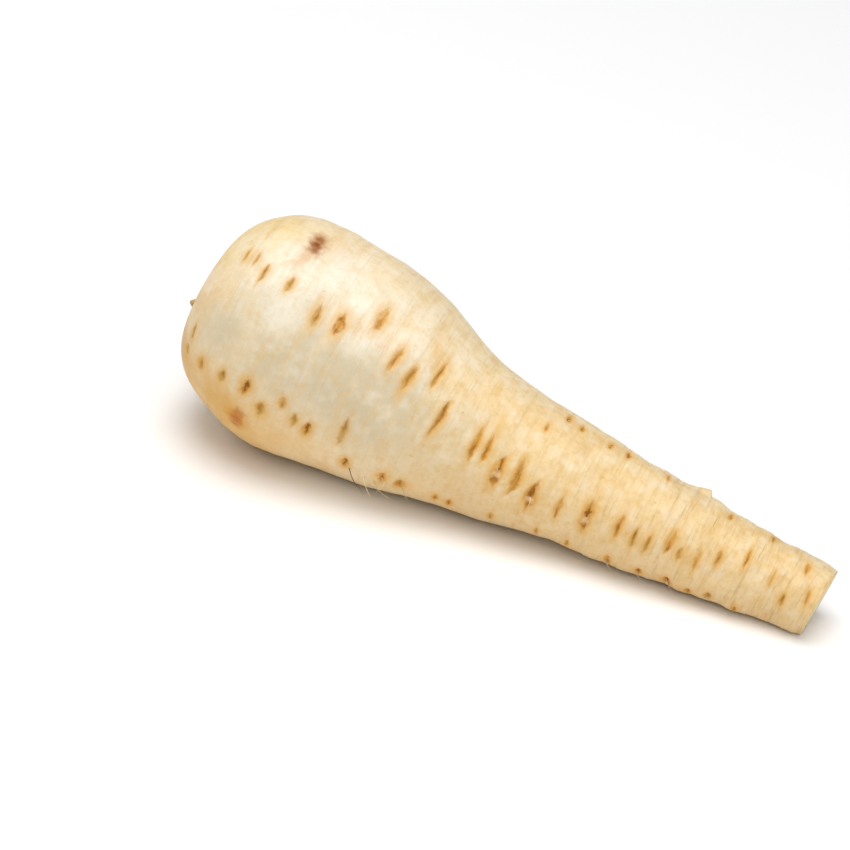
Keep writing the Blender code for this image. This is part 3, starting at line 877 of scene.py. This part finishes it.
def skin_finish():
    material, tree, shader = new_finish("parsnip_skin", 0.5, Subsurface_Weight=0.05, Subsurface_Scale=0.0015,
                                        Subsurface_Radius=(1.0, 0.75, 0.45), Specular_IOR_Level=0.20)
    where = object_place(tree)
    place = stored(tree, "place")
    face_side, top_side = stored(tree, "face_side"), stored(tree, "top_side")
    share = place / LENGTH
    tail = smooth_step(share, 0.4, 0.95)
    ground = mottling(tree, skin_ground(tree, where, place, top_side), where, share, top_side)

    streaks = cross_lines(tree, place, face_side, top_side, 0.32, 0.42, 0.78)
    lines = cross_lines(tree, place, face_side, top_side, 0.8, 0.50, 0.80)
    fine_lines = cross_lines(tree, place, face_side, top_side, 1.7, 0.52, 0.84)
    grain = use_group(tree, GRAIN, {"Vector": where, "Fineness": 1.0})
    ground = mix(tree, streaks * (0.40 + 0.15 * tail), ground, colour(*STREAK))
    ground = mix(tree, lines * (0.14 + 0.40 * tail), ground, colour(*LINE))
    ground = mix(tree, fine_lines * (0.08 + 0.24 * tail), ground, colour(*LINE))
    ground = mix(tree, 0.14 * out(grain, "Speckle"), ground, colour(*MOTTLE))

    rim = stored(tree, "radius") / RIM_RADIUS + 0.25 * (noise(tree, where, 300.0, 3.0) - 0.5)
    at_crown = 1 - smooth_step(place, 4 * MM, 8 * MM)
    ground = mix(tree, 0.7 * at_crown * (1 - smooth_step(rim, 1.0, 1.16)), ground, colour(*RIM_BROWN))
    ground, slit = scar_layers(tree, stained(tree, ground, where), where)
    plug(tree, ground, shader.inputs["Base Color"])
    plug(tree, 0.44 + 0.3 * slit + 0.15 * out(grain, "Speckle"), shader.inputs["Roughness"])

    dents = noise(tree, where, 120.0, 4.0, 0.6)
    wrinkles = 0.4 * streaks + (0.12 + 0.30 * tail) * lines + (0.05 + 0.20 * tail) * fine_lines
    bump(tree, shader, 0.15 * out(grain, "Height") - wrinkles + dents, 0.8 * MM, 0.7)
    return material


SKIN_FINISH = skin_finish()
print("skin has", len(SKIN_FINISH.node_tree.nodes), "nodes")

# %% [markdown]
# Where the tail was cut, the flesh has dried: pale straw, with a paler core, fine rays from the middle
# and a tan rim. The crown is old dry cork. Its pit and the plate in it share one recipe, a light and a
# dark tone in fibres, and differ in their tones and in where painted shade lies: the pit is painted
# darker with depth, and the plate darker between its stalks, where the value that its tree stores is
# low. A function of each is handed to the recipe as its mask.

# %% Finish: cut flesh and cork
FLESH = (236, 210, 158)
FLESH_RAY = (218, 184, 126)
FLESH_CORE = (240, 224, 178)
CUT_RIM = (176, 128, 72)


def cut_finish():
    material, tree, shader = new_finish("cut_flesh", 0.6, Subsurface_Weight=0.1, Subsurface_Scale=0.003)
    where = object_place(tree)
    from_middle = stored(tree, "radius") / float(skin_radius(LENGTH))
    round_it = vector_of(tree, 0.7 * from_middle, 9 * stored(tree, "face_side"), 9 * stored(tree, "top_side"))
    rays = noise(tree, round_it, 1.0, 3.0)
    grain = use_group(tree, GRAIN, {"Vector": where, "Fineness": 1.4})
    ground = mix(tree, smooth_step(rays, 0.4, 0.7) * 0.5, colour(*FLESH), colour(*FLESH_RAY))
    ground = mix(tree, (1 - smooth_step(from_middle, 0.30, 0.48)) * 0.6, ground, colour(*FLESH_CORE))
    ground = mix(tree, smooth_step(from_middle, 0.86, 0.99) * 0.8, ground, colour(*CUT_RIM))
    plug(tree, ground, shader.inputs["Base Color"])
    bump(tree, shader, out(grain, "Height") + rays, 0.18 * MM, 0.7)
    return material


def cork_finish(name, light, dark, shade, shade_mask):
    """Dry corky tissue: tan and brown in fibres, and painted shade where the mask says."""
    material, tree, shader = new_finish(name, 0.82, Specular_IOR_Level=0.2)
    where = object_place(tree)
    grain = use_group(tree, GRAIN, {"Vector": where, "Fineness": 0.8})
    fibres = smooth_step(noise(tree, where, 700.0, 5.0, 0.7), 0.36, 0.70)
    ground = mix(tree, fibres * 0.8, colour(*light), colour(*dark))
    ground = mix(tree, shade_mask(tree, where), ground, colour(*shade))
    plug(tree, ground, shader.inputs["Base Color"])
    bump(tree, shader, out(grain, "Height") + fibres, 0.35 * MM, 0.8)
    return material


# Painted shade: the pit's wall is painted darker with depth.
def deep_in_pit(tree, where):
    ragged = stored(tree, "place") + 2.0 * MM * (noise(tree, where, 400.0, 3.0) - 0.5)
    return 0.85 * smooth_step(ragged, 0.8 * MM, 3.8 * MM)


# Painted shade: the plate is painted darker in the grooves between its stalks.
def between_stalks(tree, where):
    ragged = stored(tree, "stalk") + 0.5 * (noise(tree, where, 500.0, 4.0, 0.6) - 0.5)
    return 0.8 * (1 - smooth_step(ragged, 0.05, 0.5))


CUT_FINISH = cut_finish()
# The third tone of each cork is its painted shade.
PIT_FINISH = cork_finish("pit_cork", (204, 160, 104), (164, 118, 68), (70, 42, 18), deep_in_pit)
PLATE_FINISH = cork_finish("stalk_base_cork", (212, 176, 118), (176, 134, 78), (92, 60, 28), between_stalks)
print("cut flesh and cork ready")

# %% [markdown]
# Now the root itself. The tree starts from a plain tube with one ring of vertices for each row of the
# ring table, reads how wide and how far down each ring is, and bends the tube into the root by the rules
# above. Fine wrinkles come from a noise that is stretched round the root. One broken side root near the
# tail is raised as a low wedge.

# %% Tree: the root's form
SIDE_ROOT_PLACE = 148.8 * MM
SIDE_ROOT_TURN = FACE_TURN + math.radians(86)
SIDE_ROOT_REACH, SIDE_ROOT_WIDTH = 1.8 * MM, 2.2 * MM


def read_ring(tree, table, ring, label):
    """One value of the ring table, for the ring that a vertex is on."""
    node = add(tree, "GeometryNodeSampleIndex",
               {"Geometry": table, "Value": named(tree, label), "Index": ring},
               data_type="FLOAT", domain="POINT", clamp=True)
    return out(node)


def ring_tube(tree, table, value):
    """A tube with a ring of vertices for each row of the table, which stores on them what the table says."""
    tube = add(tree, "GeometryNodeMeshCylinder", {"Vertices": value["Segments"],
               "Side Segments": value["Ring Count"] - 1, "Radius": 1.0, "Depth": 1.0}, fill_type="NONE")
    x, y, z = parts_of(tree, position(tree))
    ring = floor((0.5 - z) * (value["Ring Count"] - 1) + 0.5)
    turn = math_node("ARCTAN2", y, x)
    shape = out(tube, "Mesh")
    for label in ("place", "radius", "part", "low", "back"):
        shape = store(tree, shape, label, read_ring(tree, table, ring, label))
    shape = store(tree, shape, "turn", turn)
    shape = store(tree, shape, "face_side", cos(turn - FACE_TURN))
    return store(tree, shape, "top_side", sin(turn - FACE_TURN))


def on_the_skin(tree):
    """1 on the skin, and 0 in the crown's pit and on the cut."""
    return 1 - smaller(absolute(named(tree, "part") - SKIN), 1.0)


def turn_between(a, b):
    """The angle from b to a, between minus and plus half a turn, for fields."""
    return math_node("WRAP", a - b, math.pi, -math.pi)


def cross_noise(tree, place, turn, fineness):
    """A noise in bands across the root: fine down it, and long round it."""
    where = vector_of(tree, place * (fineness / MM), 1.6 * cos(turn), 1.6 * sin(turn))
    return noise(tree, where, 1.0, 2.0)


def bend_to_root(tree, shape, value):
    place, turn, radius = named(tree, "place"), named(tree, "turn"), named(tree, "radius")
    share = place / LENGTH
    skin = on_the_skin(tree)
    wrinkles = cross_noise(tree, place, turn, 0.55) + 0.6 * cross_noise(tree, place, turn, 1.3)
    ripple = (wrinkles - 0.8) * value["Wrinkle Height"] * (0.35 + 1.3 * smooth_step(share, 0.45, 0.85))
    along = (place - SIDE_ROOT_PLACE) / SIDE_ROOT_REACH
    across = turn_between(turn, SIDE_ROOT_TURN) * radius / SIDE_ROOT_WIDTH
    stump = value["Side Root Height"] * smooth_step(along, -3.0, 0.6) * (1 - smooth_step(along, 0.75, 1.15))
    stump = stump * exp(-(across * across * across * across))
    shaped = radius * out_of_round(share, turn) + (unevenness(share, turn) + ripple + stump) * skin
    x, y, z = lying(*before_lying(place, shaped, turn, named(tree, "low"), named(tree, "back")))
    return moved(tree, shape, "Position", vector_of(tree, x, y, z))


print("side root at", round(SIDE_ROOT_PLACE / MM, 1), "mm")

# %% [markdown]
# The scars come next. The tree looks up the nearest scar for every vertex, and presses a slit with raised
# lips into the skin. It stores where each vertex is in its scar, so that the finish can paint the slit
# exactly where the dent is. Two scars can lie close together, so a mask fades each of them before the
# border between them, and the glow is added up over all neighbours. No hard edge is left where one scar
# hands over to the next.

# %% Tree: press the scars
GLOW_REACH = 3.4 * MM
BORDER = (0.45 * MM, 1.2 * MM)
FAR = 99.0


def glow_at(tree, offset):
    """How strongly the skin is tinted about a scar, at this offset from its middle."""
    squared = vector_sum(tree, "DOT_PRODUCT", offset, offset, "Value")
    return exp(-squared / (GLOW_REACH * GLOW_REACH))


def press_scars(tree, shape, scars, value):
    here = position(tree)
    nearest = out(add(tree, "GeometryNodeSampleNearest", {"Geometry": scars, "Sample Position": here},
                      domain="POINT"))

    def of_scar(field, data_type="FLOAT"):
        return out(add(tree, "GeometryNodeSampleIndex", {"Geometry": scars, "Value": field, "Index": nearest},
                       data_type=data_type, domain="POINT"))

    centre = of_scar(position(tree), "FLOAT_VECTOR")
    offset = vector_sum(tree, "SUBTRACT", here, centre)
    down = of_scar(named(tree, "down_root", "FLOAT_VECTOR"), "FLOAT_VECTOR")
    round_root = of_scar(named(tree, "round_root", "FLOAT_VECTOR"), "FLOAT_VECTOR")
    along = vector_sum(tree, "DOT_PRODUCT", offset, down, "Value")
    across = vector_sum(tree, "DOT_PRODUCT", offset, round_root, "Value")
    length, width = of_scar(named(tree, "half_length")), of_scar(named(tree, "half_width"))
    darkness, stub = of_scar(named(tree, "darkness")), of_scar(named(tree, "stub"))
    shape = store(tree, shape, "scar_character", of_scar(named(tree, "character")))
    shape = store(tree, shape, "scar_along", along / width)
    shape = store(tree, shape, "scar_across", across / length)
    shape = store(tree, shape, "scar_darkness", darkness)
    shape = store(tree, shape, "scar_stub", stub)
    a, c = named(tree, "scar_along"), named(tree, "scar_across")
    margin = FAR
    glow = glow_at(tree, offset)
    for k in range(NEIGHBOURS):
        gap = of_scar(named(tree, "neighbour_%d" % k, "FLOAT_VECTOR"), "FLOAT_VECTOR")
        glow = glow + glow_at(tree, vector_sum(tree, "SUBTRACT", offset, gap))
        length_squared = vector_sum(tree, "DOT_PRODUCT", gap, gap, "Value")
        past = vector_sum(tree, "DOT_PRODUCT", offset, gap, "Value")
        margin = smaller((0.5 * length_squared - past) / length_squared ** 0.5, margin)
    near = smooth_step(margin, *BORDER) * (1 - smooth_step(a * a / 9.0 + c * c / 7.0, 0.6, 1.0))
    shape = store(tree, shape, "scar_near", near)
    shape = store(tree, shape, "scar_glow", glow)
    deep = named(tree, "scar_darkness") * value["Slit Depth"]
    ends = larger(1 - c * c / 1.44, 0.0)
    lips = value["Lip Height"] * exp(-((absolute(a) - 2.0) * (absolute(a) - 2.0)))
    nub = named(tree, "scar_stub") * value["Stub Height"] * exp(-(1.4 * a * a) - 6.0 * c * c)
    relief = ends * (lips - exp(-(a * a))) * deep + nub
    fade = on_the_skin(tree) * smooth_step(named(tree, "place"), 2 * MM, 6 * MM)
    normal = out(add(tree, "GeometryNodeInputNormal"))
    push = vector_sum(tree, "SCALE", normal, relief * fade)
    return moved(tree, shape, "Offset", push)


def press_on_surface(tree, shape, height=0.0):
    """Nothing goes below the surface: the soft skin is pressed flat there, and a rootlet lies along it."""
    x, y, z = parts_of(tree, position(tree))
    return moved(tree, shape, "Position", vector_of(tree, x, y, larger(z, height)))


print("each scar looks at", NEIGHBOURS, "neighbours")

# %% [markdown]
# The last step joins these, sets the finish of the skin, the cut and the pit, and runs the tree once to
# make the root as a plain mesh.

# %% Grow the root
def root_tree():
    tree, value = new_tree("parsnip_root", (
        ("Rings", "Object", None), ("Scars", "Object", None), ("Ring Count", "Int", 400),
        ("Segments", "Int", 208), ("Wrinkle Height", "Float", 0.28 * MM), ("Slit Depth", "Float", 0.7 * MM),
        ("Lip Height", "Float", 0.25), ("Stub Height", "Float", 0.9 * MM),
        ("Side Root Height", "Float", 1.6 * MM)))
    rings = out(add(tree, "GeometryNodeObjectInfo", {"Object": value["Rings"]}), "Geometry")
    scars = out(add(tree, "GeometryNodeObjectInfo", {"Object": value["Scars"]}), "Geometry")

    shape = ring_tube(tree, rings, value)
    shape = bend_to_root(tree, shape, value)
    shape = press_scars(tree, shape, scars, value)
    shape = press_on_surface(tree, shape)
    shape = welded(tree, shape)
    on_cut = math_node("GREATER_THAN", named(tree, "part"), 1.7)
    in_pit = math_node("LESS_THAN", named(tree, "part"), 0.3)
    finish_tree(tree, shape, SKIN_FINISH, ((CUT_FINISH, on_cut), (PIT_FINISH, in_pit)))
    return tree


root_values = {"Rings": ring_points, "Scars": scar_points, "Ring Count": len(RINGS)}
root_skin = grow("root_skin", root_tree(), root_values)
triangles = sum(len(p.vertices) - 2 for p in root_skin.data.polygons)
print("root_skin:", triangles, "triangles, box mm", [round(v / MM, 1) for v in root_skin.dimensions])

# %% [markdown]
# In the crown sits the corky plate that the leaf stalks grew from. It is turned too, so its tree reads
# rings in the same way and raises the stalks as broken rings of crescents, with one dried flap at the
# edge. It stores how much stalk there is at each place, so that the finish can paint shade in the gaps
# between them.

# %% Tree: the stalk plate
PLATE_RADIUS = 10.9 * MM
PLATE_TOP = 0.6 * MM
BUD_HOLE_RADIUS = 3.6 * MM
BUD_HOLE_DEPTH = 1.4 * MM
FLAP_TURN = FACE_TURN + math.radians(-44)
FLAP_RADIUS, FLAP_REACH = 9.3 * MM, 1.6 * MM
STALK_RINGS = 3
TOP, SIDE = 1, 0


def plate_rings():
    bottom, hole = PIT_DEPTH - GAP, PLATE_TOP + BUD_HOLE_DEPTH
    rings = [(hole, BUD_HOLE_RADIUS * k / 4, SIDE) for k in range(5)]
    rings += [(PLATE_TOP + 0.5 * BUD_HOLE_DEPTH, BUD_HOLE_RADIUS + 0.1 * MM, SIDE)]
    rings += [(PLATE_TOP, radius, TOP) for radius in np.linspace(3.9 * MM, PLATE_RADIUS - 0.8 * MM, 34)]
    rings += [(PLATE_TOP + 0.25 * MM, PLATE_RADIUS - 0.25 * MM, SIDE)]
    rings += [(PLATE_TOP + 0.8 * MM, PLATE_RADIUS, SIDE)]
    return rings + [(bottom, PLATE_RADIUS - 0.5 * MM, SIDE), (bottom, 5 * MM, SIDE), (bottom, 0.0, SIDE)]


def plate_tree():
    tree, value = new_tree("stalk_plate", (
        ("Rings", "Object", None), ("Ring Count", "Int", 40), ("Segments", "Int", 120),
        ("Stalk Height", "Float", 0.9 * MM), ("Flap Height", "Float", 2.2 * MM),
        ("Torn Height", "Float", 0.5 * MM)))
    table = out(add(tree, "GeometryNodeObjectInfo", {"Object": value["Rings"]}), "Geometry")
    shape = ring_tube(tree, table, value)
    place, radius, turn = named(tree, "place"), named(tree, "radius"), named(tree, "turn")
    ring = radius * (STALK_RINGS / PLATE_RADIUS)
    number = floor(ring)
    crescent = sin(math.pi * (ring - number)) * sin(math.pi * (ring - number))
    broken = 0.55 + 0.45 * cos((3 + number) * (turn + 0.7 * number))
    across = turn_between(turn, FLAP_TURN) * radius / FLAP_REACH
    along = (radius - FLAP_RADIUS) / FLAP_REACH
    flap = value["Flap Height"] * exp(-(along * along) - across * across)
    spot = vector_of(tree, radius * (1.0 / MM) * cos(turn), radius * (1.0 / MM) * sin(turn), 0.0)
    torn = (noise(tree, spot, 1.1, 4.0, 0.6) - 0.5) * value["Torn Height"]
    shape = store(tree, shape, "stalk", crescent * broken)
    relief = (value["Stalk Height"] * crescent * broken + flap + torn) * named(tree, "part")
    x, y, z = lying(*before_lying(place - relief, radius, turn, named(tree, "low"), named(tree, "back")))
    shape = moved(tree, shape, "Position", vector_of(tree, x, y, z))
    shape = welded(tree, shape)
    finish_tree(tree, shape, PLATE_FINISH)
    return tree


PLATE_RINGS = plate_rings()
plate_points = ring_table("plate_points", PLATE_RINGS)
stalk_plate = grow("stalk_plate_cork", plate_tree(), {"Rings": plate_points, "Ring Count": len(PLATE_RINGS)})
print("stalk_plate_cork:", len(stalk_plate.data.polygons), "faces")

# %% [markdown]
# The buds stand in the hole of the plate: one in the middle and five round it that lean outwards. One bud
# is a cone that swells and has three folds. The tree plants it on helper points that know which way to
# grow, and each copy has its own length. Copies are instances until the end, when the tree makes them
# real.

# %% Tree: buds and rootlets share a way of planting
OUTER_BUDS = 5
BUD_FOOT = 1.75 * MM
BUD_SPREAD = 1.9 * MM
BUD_LENGTH = 3.2 * MM
BUD_GIRTH = 1.15 * MM


def planted(tree, points, what):
    """Instances that stand along each point's own direction, as long and as thick as it says."""
    turned = out(add(tree, "FunctionNodeAlignRotationToVector",
                     {"Vector": named(tree, "grows", "FLOAT_VECTOR")}, axis="Z"))
    size = vector_of(tree, named(tree, "girth"), named(tree, "girth"), named(tree, "length"))
    node = add(tree, "GeometryNodeInstanceOnPoints",
               {"Points": points, "Instance": what, "Rotation": turned, "Scale": size})
    return out(node)


def crown_point(place, radius, turn):
    low, back = axis_offsets(np.array(place))
    return Vector(float(v) for v in lying(*before_lying(place, radius, turn, float(low), float(back))))


def bud_finish():
    material, tree, shader = new_finish("bud_skin", 0.5, Subsurface_Weight=0.15, Subsurface_Scale=0.002)
    where = object_place(tree)
    grain = use_group(tree, GRAIN, {"Vector": where, "Fineness": 1.2})
    patches = smooth_step(noise(tree, where, 500.0, 3.0), 0.4, 0.65)
    ground = mix(tree, patches, colour(206, 200, 110), colour(228, 216, 150))
    ground = mix(tree, 0.7 * smooth_step(stored(tree, "height"), 0.45, 0.95), ground, colour(150, 168, 60))
    ground = mix(tree, 0.7 * (1 - smooth_step(stored(tree, "fold"), 0.82, 1.0)), ground, colour(120, 124, 44))
    ground = mix(tree, 0.3 * out(grain, "Speckle"), ground, colour(140, 120, 60))
    plug(tree, ground, shader.inputs["Base Color"])
    bump(tree, shader, out(grain, "Height"), 0.1 * MM, 0.6)
    return material


def bud_tree():
    tree, value = new_tree("bud_tuft", (
        ("Sides", "Int", 24), ("Fold Depth", "Float", 0.22), ("Swell", "Float", 0.35)))
    cone = add(tree, "GeometryNodeMeshCone", {
        "Vertices": value["Sides"], "Side Segments": 14, "Fill Segments": 2,
        "Radius Top": 0.12, "Radius Bottom": 0.8, "Depth": 1.0})
    x, y, z = parts_of(tree, position(tree))
    turn = math_node("ARCTAN2", y, x)
    folds = 1 + value["Fold Depth"] * (cos(3 * turn + 3.0 * z) + 0.4 * cos(7 * turn - 5.0 * z))
    swell = (1 + value["Swell"] * sin(math.pi * z)) * folds
    cone = store(tree, store(tree, out(cone, "Mesh"), "height", z), "fold", folds)
    bud = moved(tree, cone, "Position", vector_of(tree, x * swell, y * swell, z))
    finish_tree(tree, planted(tree, value["Geometry"], bud), bud_finish())
    return tree


def bud_points():
    points, grows, lengths = [], [], []
    for number in range(OUTER_BUDS + 1):
        turn = 2 * math.pi * number / OUTER_BUDS
        spread = 0.0 if number == OUTER_BUDS else BUD_SPREAD
        foot = crown_point(BUD_FOOT, spread, turn)
        tip = crown_point(BUD_FOOT - 3.0 * MM, spread * 1.4, turn)
        points.append(foot)
        grows.append((tip - foot).normalized())
        lengths.append(BUD_LENGTH * (1 + 0.28 * math.cos(2.3 * number)))
    return point_table("bud_points", points, {"length": lengths, "girth": [BUD_GIRTH] * len(points)},
                       {"grows": grows})


bud_leaves = grow("bud_leaves", bud_tree(), {}, bud_points().data)
print("bud_leaves:", len(bud_leaves.data.polygons), "faces")

# %% [markdown]
# Some scars still hold the last bit of their rootlet: a hair-thin, pale, bent thread. A few are long
# enough to show, given one by one in the list below, and the rest are short broken ends placed by chance on
# the scars of the lower and hidden rows. Each grows from a point on the skin, as the buds do, but it is a
# curve that is bent, given a taper and made into a tube.

# %% Tree: rootlets
ROOTLET_SEED = 11
LOWEST_ROOTLET = 3 * MM

# Each is (millimetres from the crown, degrees from the face, length, lean down the root, lean round it, age).
LONG_ROOTLETS = (
    (58.5, -68, 6.0, 1.3, -0.6, 1.0), (63, -72, 5.5, 0.8, -0.9, 0.0), (66, -74, 4.5, 1.5, -0.4, 0.2),
    (69, -70, 4.0, -0.4, -0.8, 0.0), (74, -72, 3.5, 0.9, -0.8, 0.3), (107, -31, 2.2, 0.2, -0.9, 0.1),
    (123, -28, 1.8, 0.4, 0.8, 0.2), (96, -19, 1.6, -0.6, 0.7, 0.2), (133, -82, 3.0, 1.2, -0.5, 0.5),
    (151, -80, 2.6, 1.0, -0.4, 0.6), (142, -82, 1.8, 1.0, -0.4, 0.4), (120, 58, 1.2, 0.8, 0.5, 0.3))


def rootlet_finish():
    material, tree, shader = new_finish("rootlet", 0.6, Subsurface_Weight=0.1, Subsurface_Scale=0.001)
    ground = mix(tree, stored(tree, "age"), colour(244, 222, 178), colour(104, 66, 34))
    grain = use_group(tree, GRAIN, {"Vector": object_place(tree), "Fineness": 2.0})
    plug(tree, mix(tree, 0.3 * out(grain, "Speckle"), ground, colour(*SLIT)), shader.inputs["Base Color"])
    return material


def rootlet_tree():
    tree, value = new_tree("rootlets", (("Thickness", "Float", 0.16 * MM), ("Kink", "Float", 0.5 * MM)))
    line = out(add(tree, "GeometryNodeCurvePrimitiveLine",
                   {"Start": (0, 0, -0.08), "End": (0, 0, 1)}, mode="POINTS"))
    thread = out(add(tree, "GeometryNodeResampleCurve", {"Curve": line, "Count": 16}))
    threads = planted(tree, value["Geometry"], thread)
    real = out(add(tree, "GeometryNodeRealizeInstances", {"Geometry": threads}))
    factor = out(add(tree, "GeometryNodeSplineParameter"), "Factor")
    here = position(tree)
    wander = out(add(tree, "ShaderNodeTexNoise", {"Vector": here, "Scale": 350.0, "Detail": 1.0}), "Color")
    wander = vector_sum(tree, "SUBTRACT", wander, (0.5, 0.5, 0.5))
    reach = factor * factor * named(tree, "length")
    bend = vector_sum(tree, "SCALE", named(tree, "bend", "FLOAT_VECTOR"), reach)
    kink = vector_sum(tree, "SCALE", wander, factor * value["Kink"] * 4.0)
    curve = moved(tree, real, "Offset", vector_sum(tree, "ADD", bend, kink))
    curve = press_on_surface(tree, curve, 0.3 * MM)
    profile = out(add(tree, "GeometryNodeCurvePrimitiveCircle",
                      {"Resolution": 6, "Radius": value["Thickness"]}))
    tube = out(add(tree, "GeometryNodeCurveToMesh", {"Curve": curve, "Profile Curve": profile,
                                                     "Scale": 1 - 0.75 * factor, "Fill Caps": True}))
    finish_tree(tree, tube, rootlet_finish())
    return tree


def rootlet_points():
    rng = random.Random(ROOTLET_SEED)
    rows = list(LONG_ROOTLETS)
    for place, degrees, *_ in SCARS[len(FACE_ROW):]:
        if place > 30 and rng.random() < 0.45:
            rows.append((place, degrees + rng.uniform(-4, 4), rng.uniform(0.5, 1.6), rng.uniform(-1, 1.2),
                         rng.uniform(-1, 0.6), rng.uniform(0.1, 0.8)))
    rows = [r for r in rows if on_skin(r[0] * MM, FACE_TURN + math.radians(r[1])).z > LOWEST_ROOTLET]
    points, grows, bends = [], [], []
    for place, degrees, _, down, around, _ in rows:
        turn = FACE_TURN + math.radians(degrees)
        here, along, across = on_skin_with_directions(place * MM, turn)
        outwards = across.cross(along)
        if outwards.dot(here - on_skin(place * MM, turn + math.pi)) <= 0:
            outwards = -outwards
        points.append(here)
        grows.append((outwards + 0.4 * down * along + 0.4 * around * across).normalized())
        bends.append(0.5 * down * along + 0.5 * around * across - 0.25 * outwards)
    numbers = {"length": [r[2] * MM for r in rows], "girth": [1.0] * len(rows), "age": [r[5] for r in rows]}
    return point_table("rootlet_points", points, numbers, {"grows": grows, "bend": bends})


rootlets = grow("rootlets", rootlet_tree(), {}, rootlet_points().data)
print("rootlets:", len(rootlets.data.polygons), "faces")

# %% [markdown]
# Every fine piece rides on the one body of this part, and the solid that it stands for is hidden. The
# helper points have done their work and are removed.

# %% Ride and replace
for piece, node, slot in ((root_skin, "root", "skin"), (stalk_plate, "leaf_stalk_plate", "stalk_base"),
                          (bud_leaves, "leaf_buds", "young_leaf"), (rootlets, None, "skin")):
    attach(piece, "root")
    if node:
        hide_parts(node)
for helper in [o for o in bpy.data.objects if o.name.endswith("_points")]:
    bpy.data.objects.remove(helper)

# %% [markdown]
# The floor is plain, pale and matt, and runs far past the edges of the view. The light is soft: a large
# panel overhead does most, with weaker panels in front, to the right and to the left, and an even white
# surround. Large panels make pale shadows with wide edges, and the front of the root stays a little
# darker than its top.

# %% Floor and light
def floor_piece():
    mesh = bpy.data.meshes.new("floor")
    form = bmesh.new()
    bmesh.ops.create_grid(form, x_segments=1, y_segments=1, size=3.0)
    form.to_mesh(mesh)
    form.free()
    material, tree, shader = new_finish("pale_floor", 0.9)
    shader.inputs["Base Color"].default_value = (0.96, 0.96, 0.96, 1)
    shader.inputs["Specular IOR Level"].default_value = 0.1
    mesh.materials.append(material)
    made = bpy.data.objects.new("floor", mesh)
    bpy.context.scene.collection.objects.link(made)
    return made


def soft_panel(name, place, size, power, aim=(0, 0, 0.03)):
    light = bpy.data.lights.new(name, "AREA")
    light.shape = "DISK"
    light.size = size
    light.energy = power
    made = bpy.data.objects.new(name, light)
    made.location = place
    made.rotation_euler = (Vector(aim) - Vector(place)).to_track_quat("-Z", "Y").to_euler()
    bpy.context.scene.collection.objects.link(made)


floor_piece()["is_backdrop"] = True
soft_panel("overhead_panel", (-0.15, -0.35, 2.0), 1.4, 28.0)
soft_panel("front_panel", (0.0, -1.3, 1.5), 1.2, 6.0)
soft_panel("right_panel", (1.35, -0.9, 1.2), 1.2, 4.5)
soft_panel("left_panel", (-1.5, -0.5, 1.3), 1.2, 2.0)
scene = bpy.context.scene
scene.world = bpy.data.worlds.new("surround")
scene.world.use_nodes = True
scene.world.node_tree.nodes["Background"].inputs["Color"].default_value = (1, 1, 1, 1)
scene.world.node_tree.nodes["Background"].inputs["Strength"].default_value = 0.34
scene.view_settings.view_transform = "Standard"

# %% [markdown]
# The camera stands at a longish distance with a narrow view, as for a product portrait, a little to one
# side and above. It is rolled, which lets a root that lies level run down across the picture.

# %% Camera
AZIMUTH, ELEVATION, ROLL = (math.radians(a) for a in (10.0, 30.0, 13.9))
VIEW_ANGLE = math.radians(16.0)
DISTANCE = 835.6 * MM
RIGHT_OF_MIDDLE, ABOVE_MIDDLE = 25.75 * MM, 3.04 * MM


def make_camera():
    look = Vector((-math.sin(AZIMUTH) * math.cos(ELEVATION), math.cos(AZIMUTH) * math.cos(ELEVATION),
                   -math.sin(ELEVATION)))
    level = Vector((math.cos(AZIMUTH), math.sin(AZIMUTH), 0))
    rise = level.cross(look)
    right = math.cos(ROLL) * level + math.sin(ROLL) * rise
    up = math.cos(ROLL) * rise - math.sin(ROLL) * level
    target = (CAD_LOW + CAD_HIGH) / 2
    stand = target - DISTANCE * look
    ahead = (target - RIGHT_OF_MIDDLE * right - ABOVE_MIDDLE * up - stand).normalized()
    side = (right - right.dot(ahead) * ahead).normalized()
    top = side.cross(ahead)
    data = bpy.data.cameras.new("portrait_camera")
    data.sensor_width = 36.0
    data.lens = data.sensor_width / 2 / math.tan(VIEW_ANGLE / 2)
    data.clip_start, data.clip_end = 0.01, 20.0
    made = bpy.data.objects.new("portrait_camera", data)
    made.matrix_world = Matrix.Translation(stand) @ Matrix((side, top, -ahead)).transposed().to_4x4()
    bpy.context.scene.collection.objects.link(made)
    return made


scene.camera = make_camera()
print("lens, mm:", round(scene.camera.data.lens, 1))

# %% [markdown]
# Last, the fine model's box is held against the solids' box: how far it has grown on each side is
# printed, and the script stops if a piece stands out by more than 3% of a side.

# %% Sizes and checks
low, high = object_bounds()
grown = [*(CAD_LOW - low), *(high - CAD_HIGH)]
print("grown by, mm:", [round(v / MM, 2) for v in grown])
if any(g > 0.03 * side for g, side in zip(grown, [*(CAD_HIGH - CAD_LOW)] * 2)):
    raise ValueError("a piece stands out of the solids' box by more than 3% of its side")
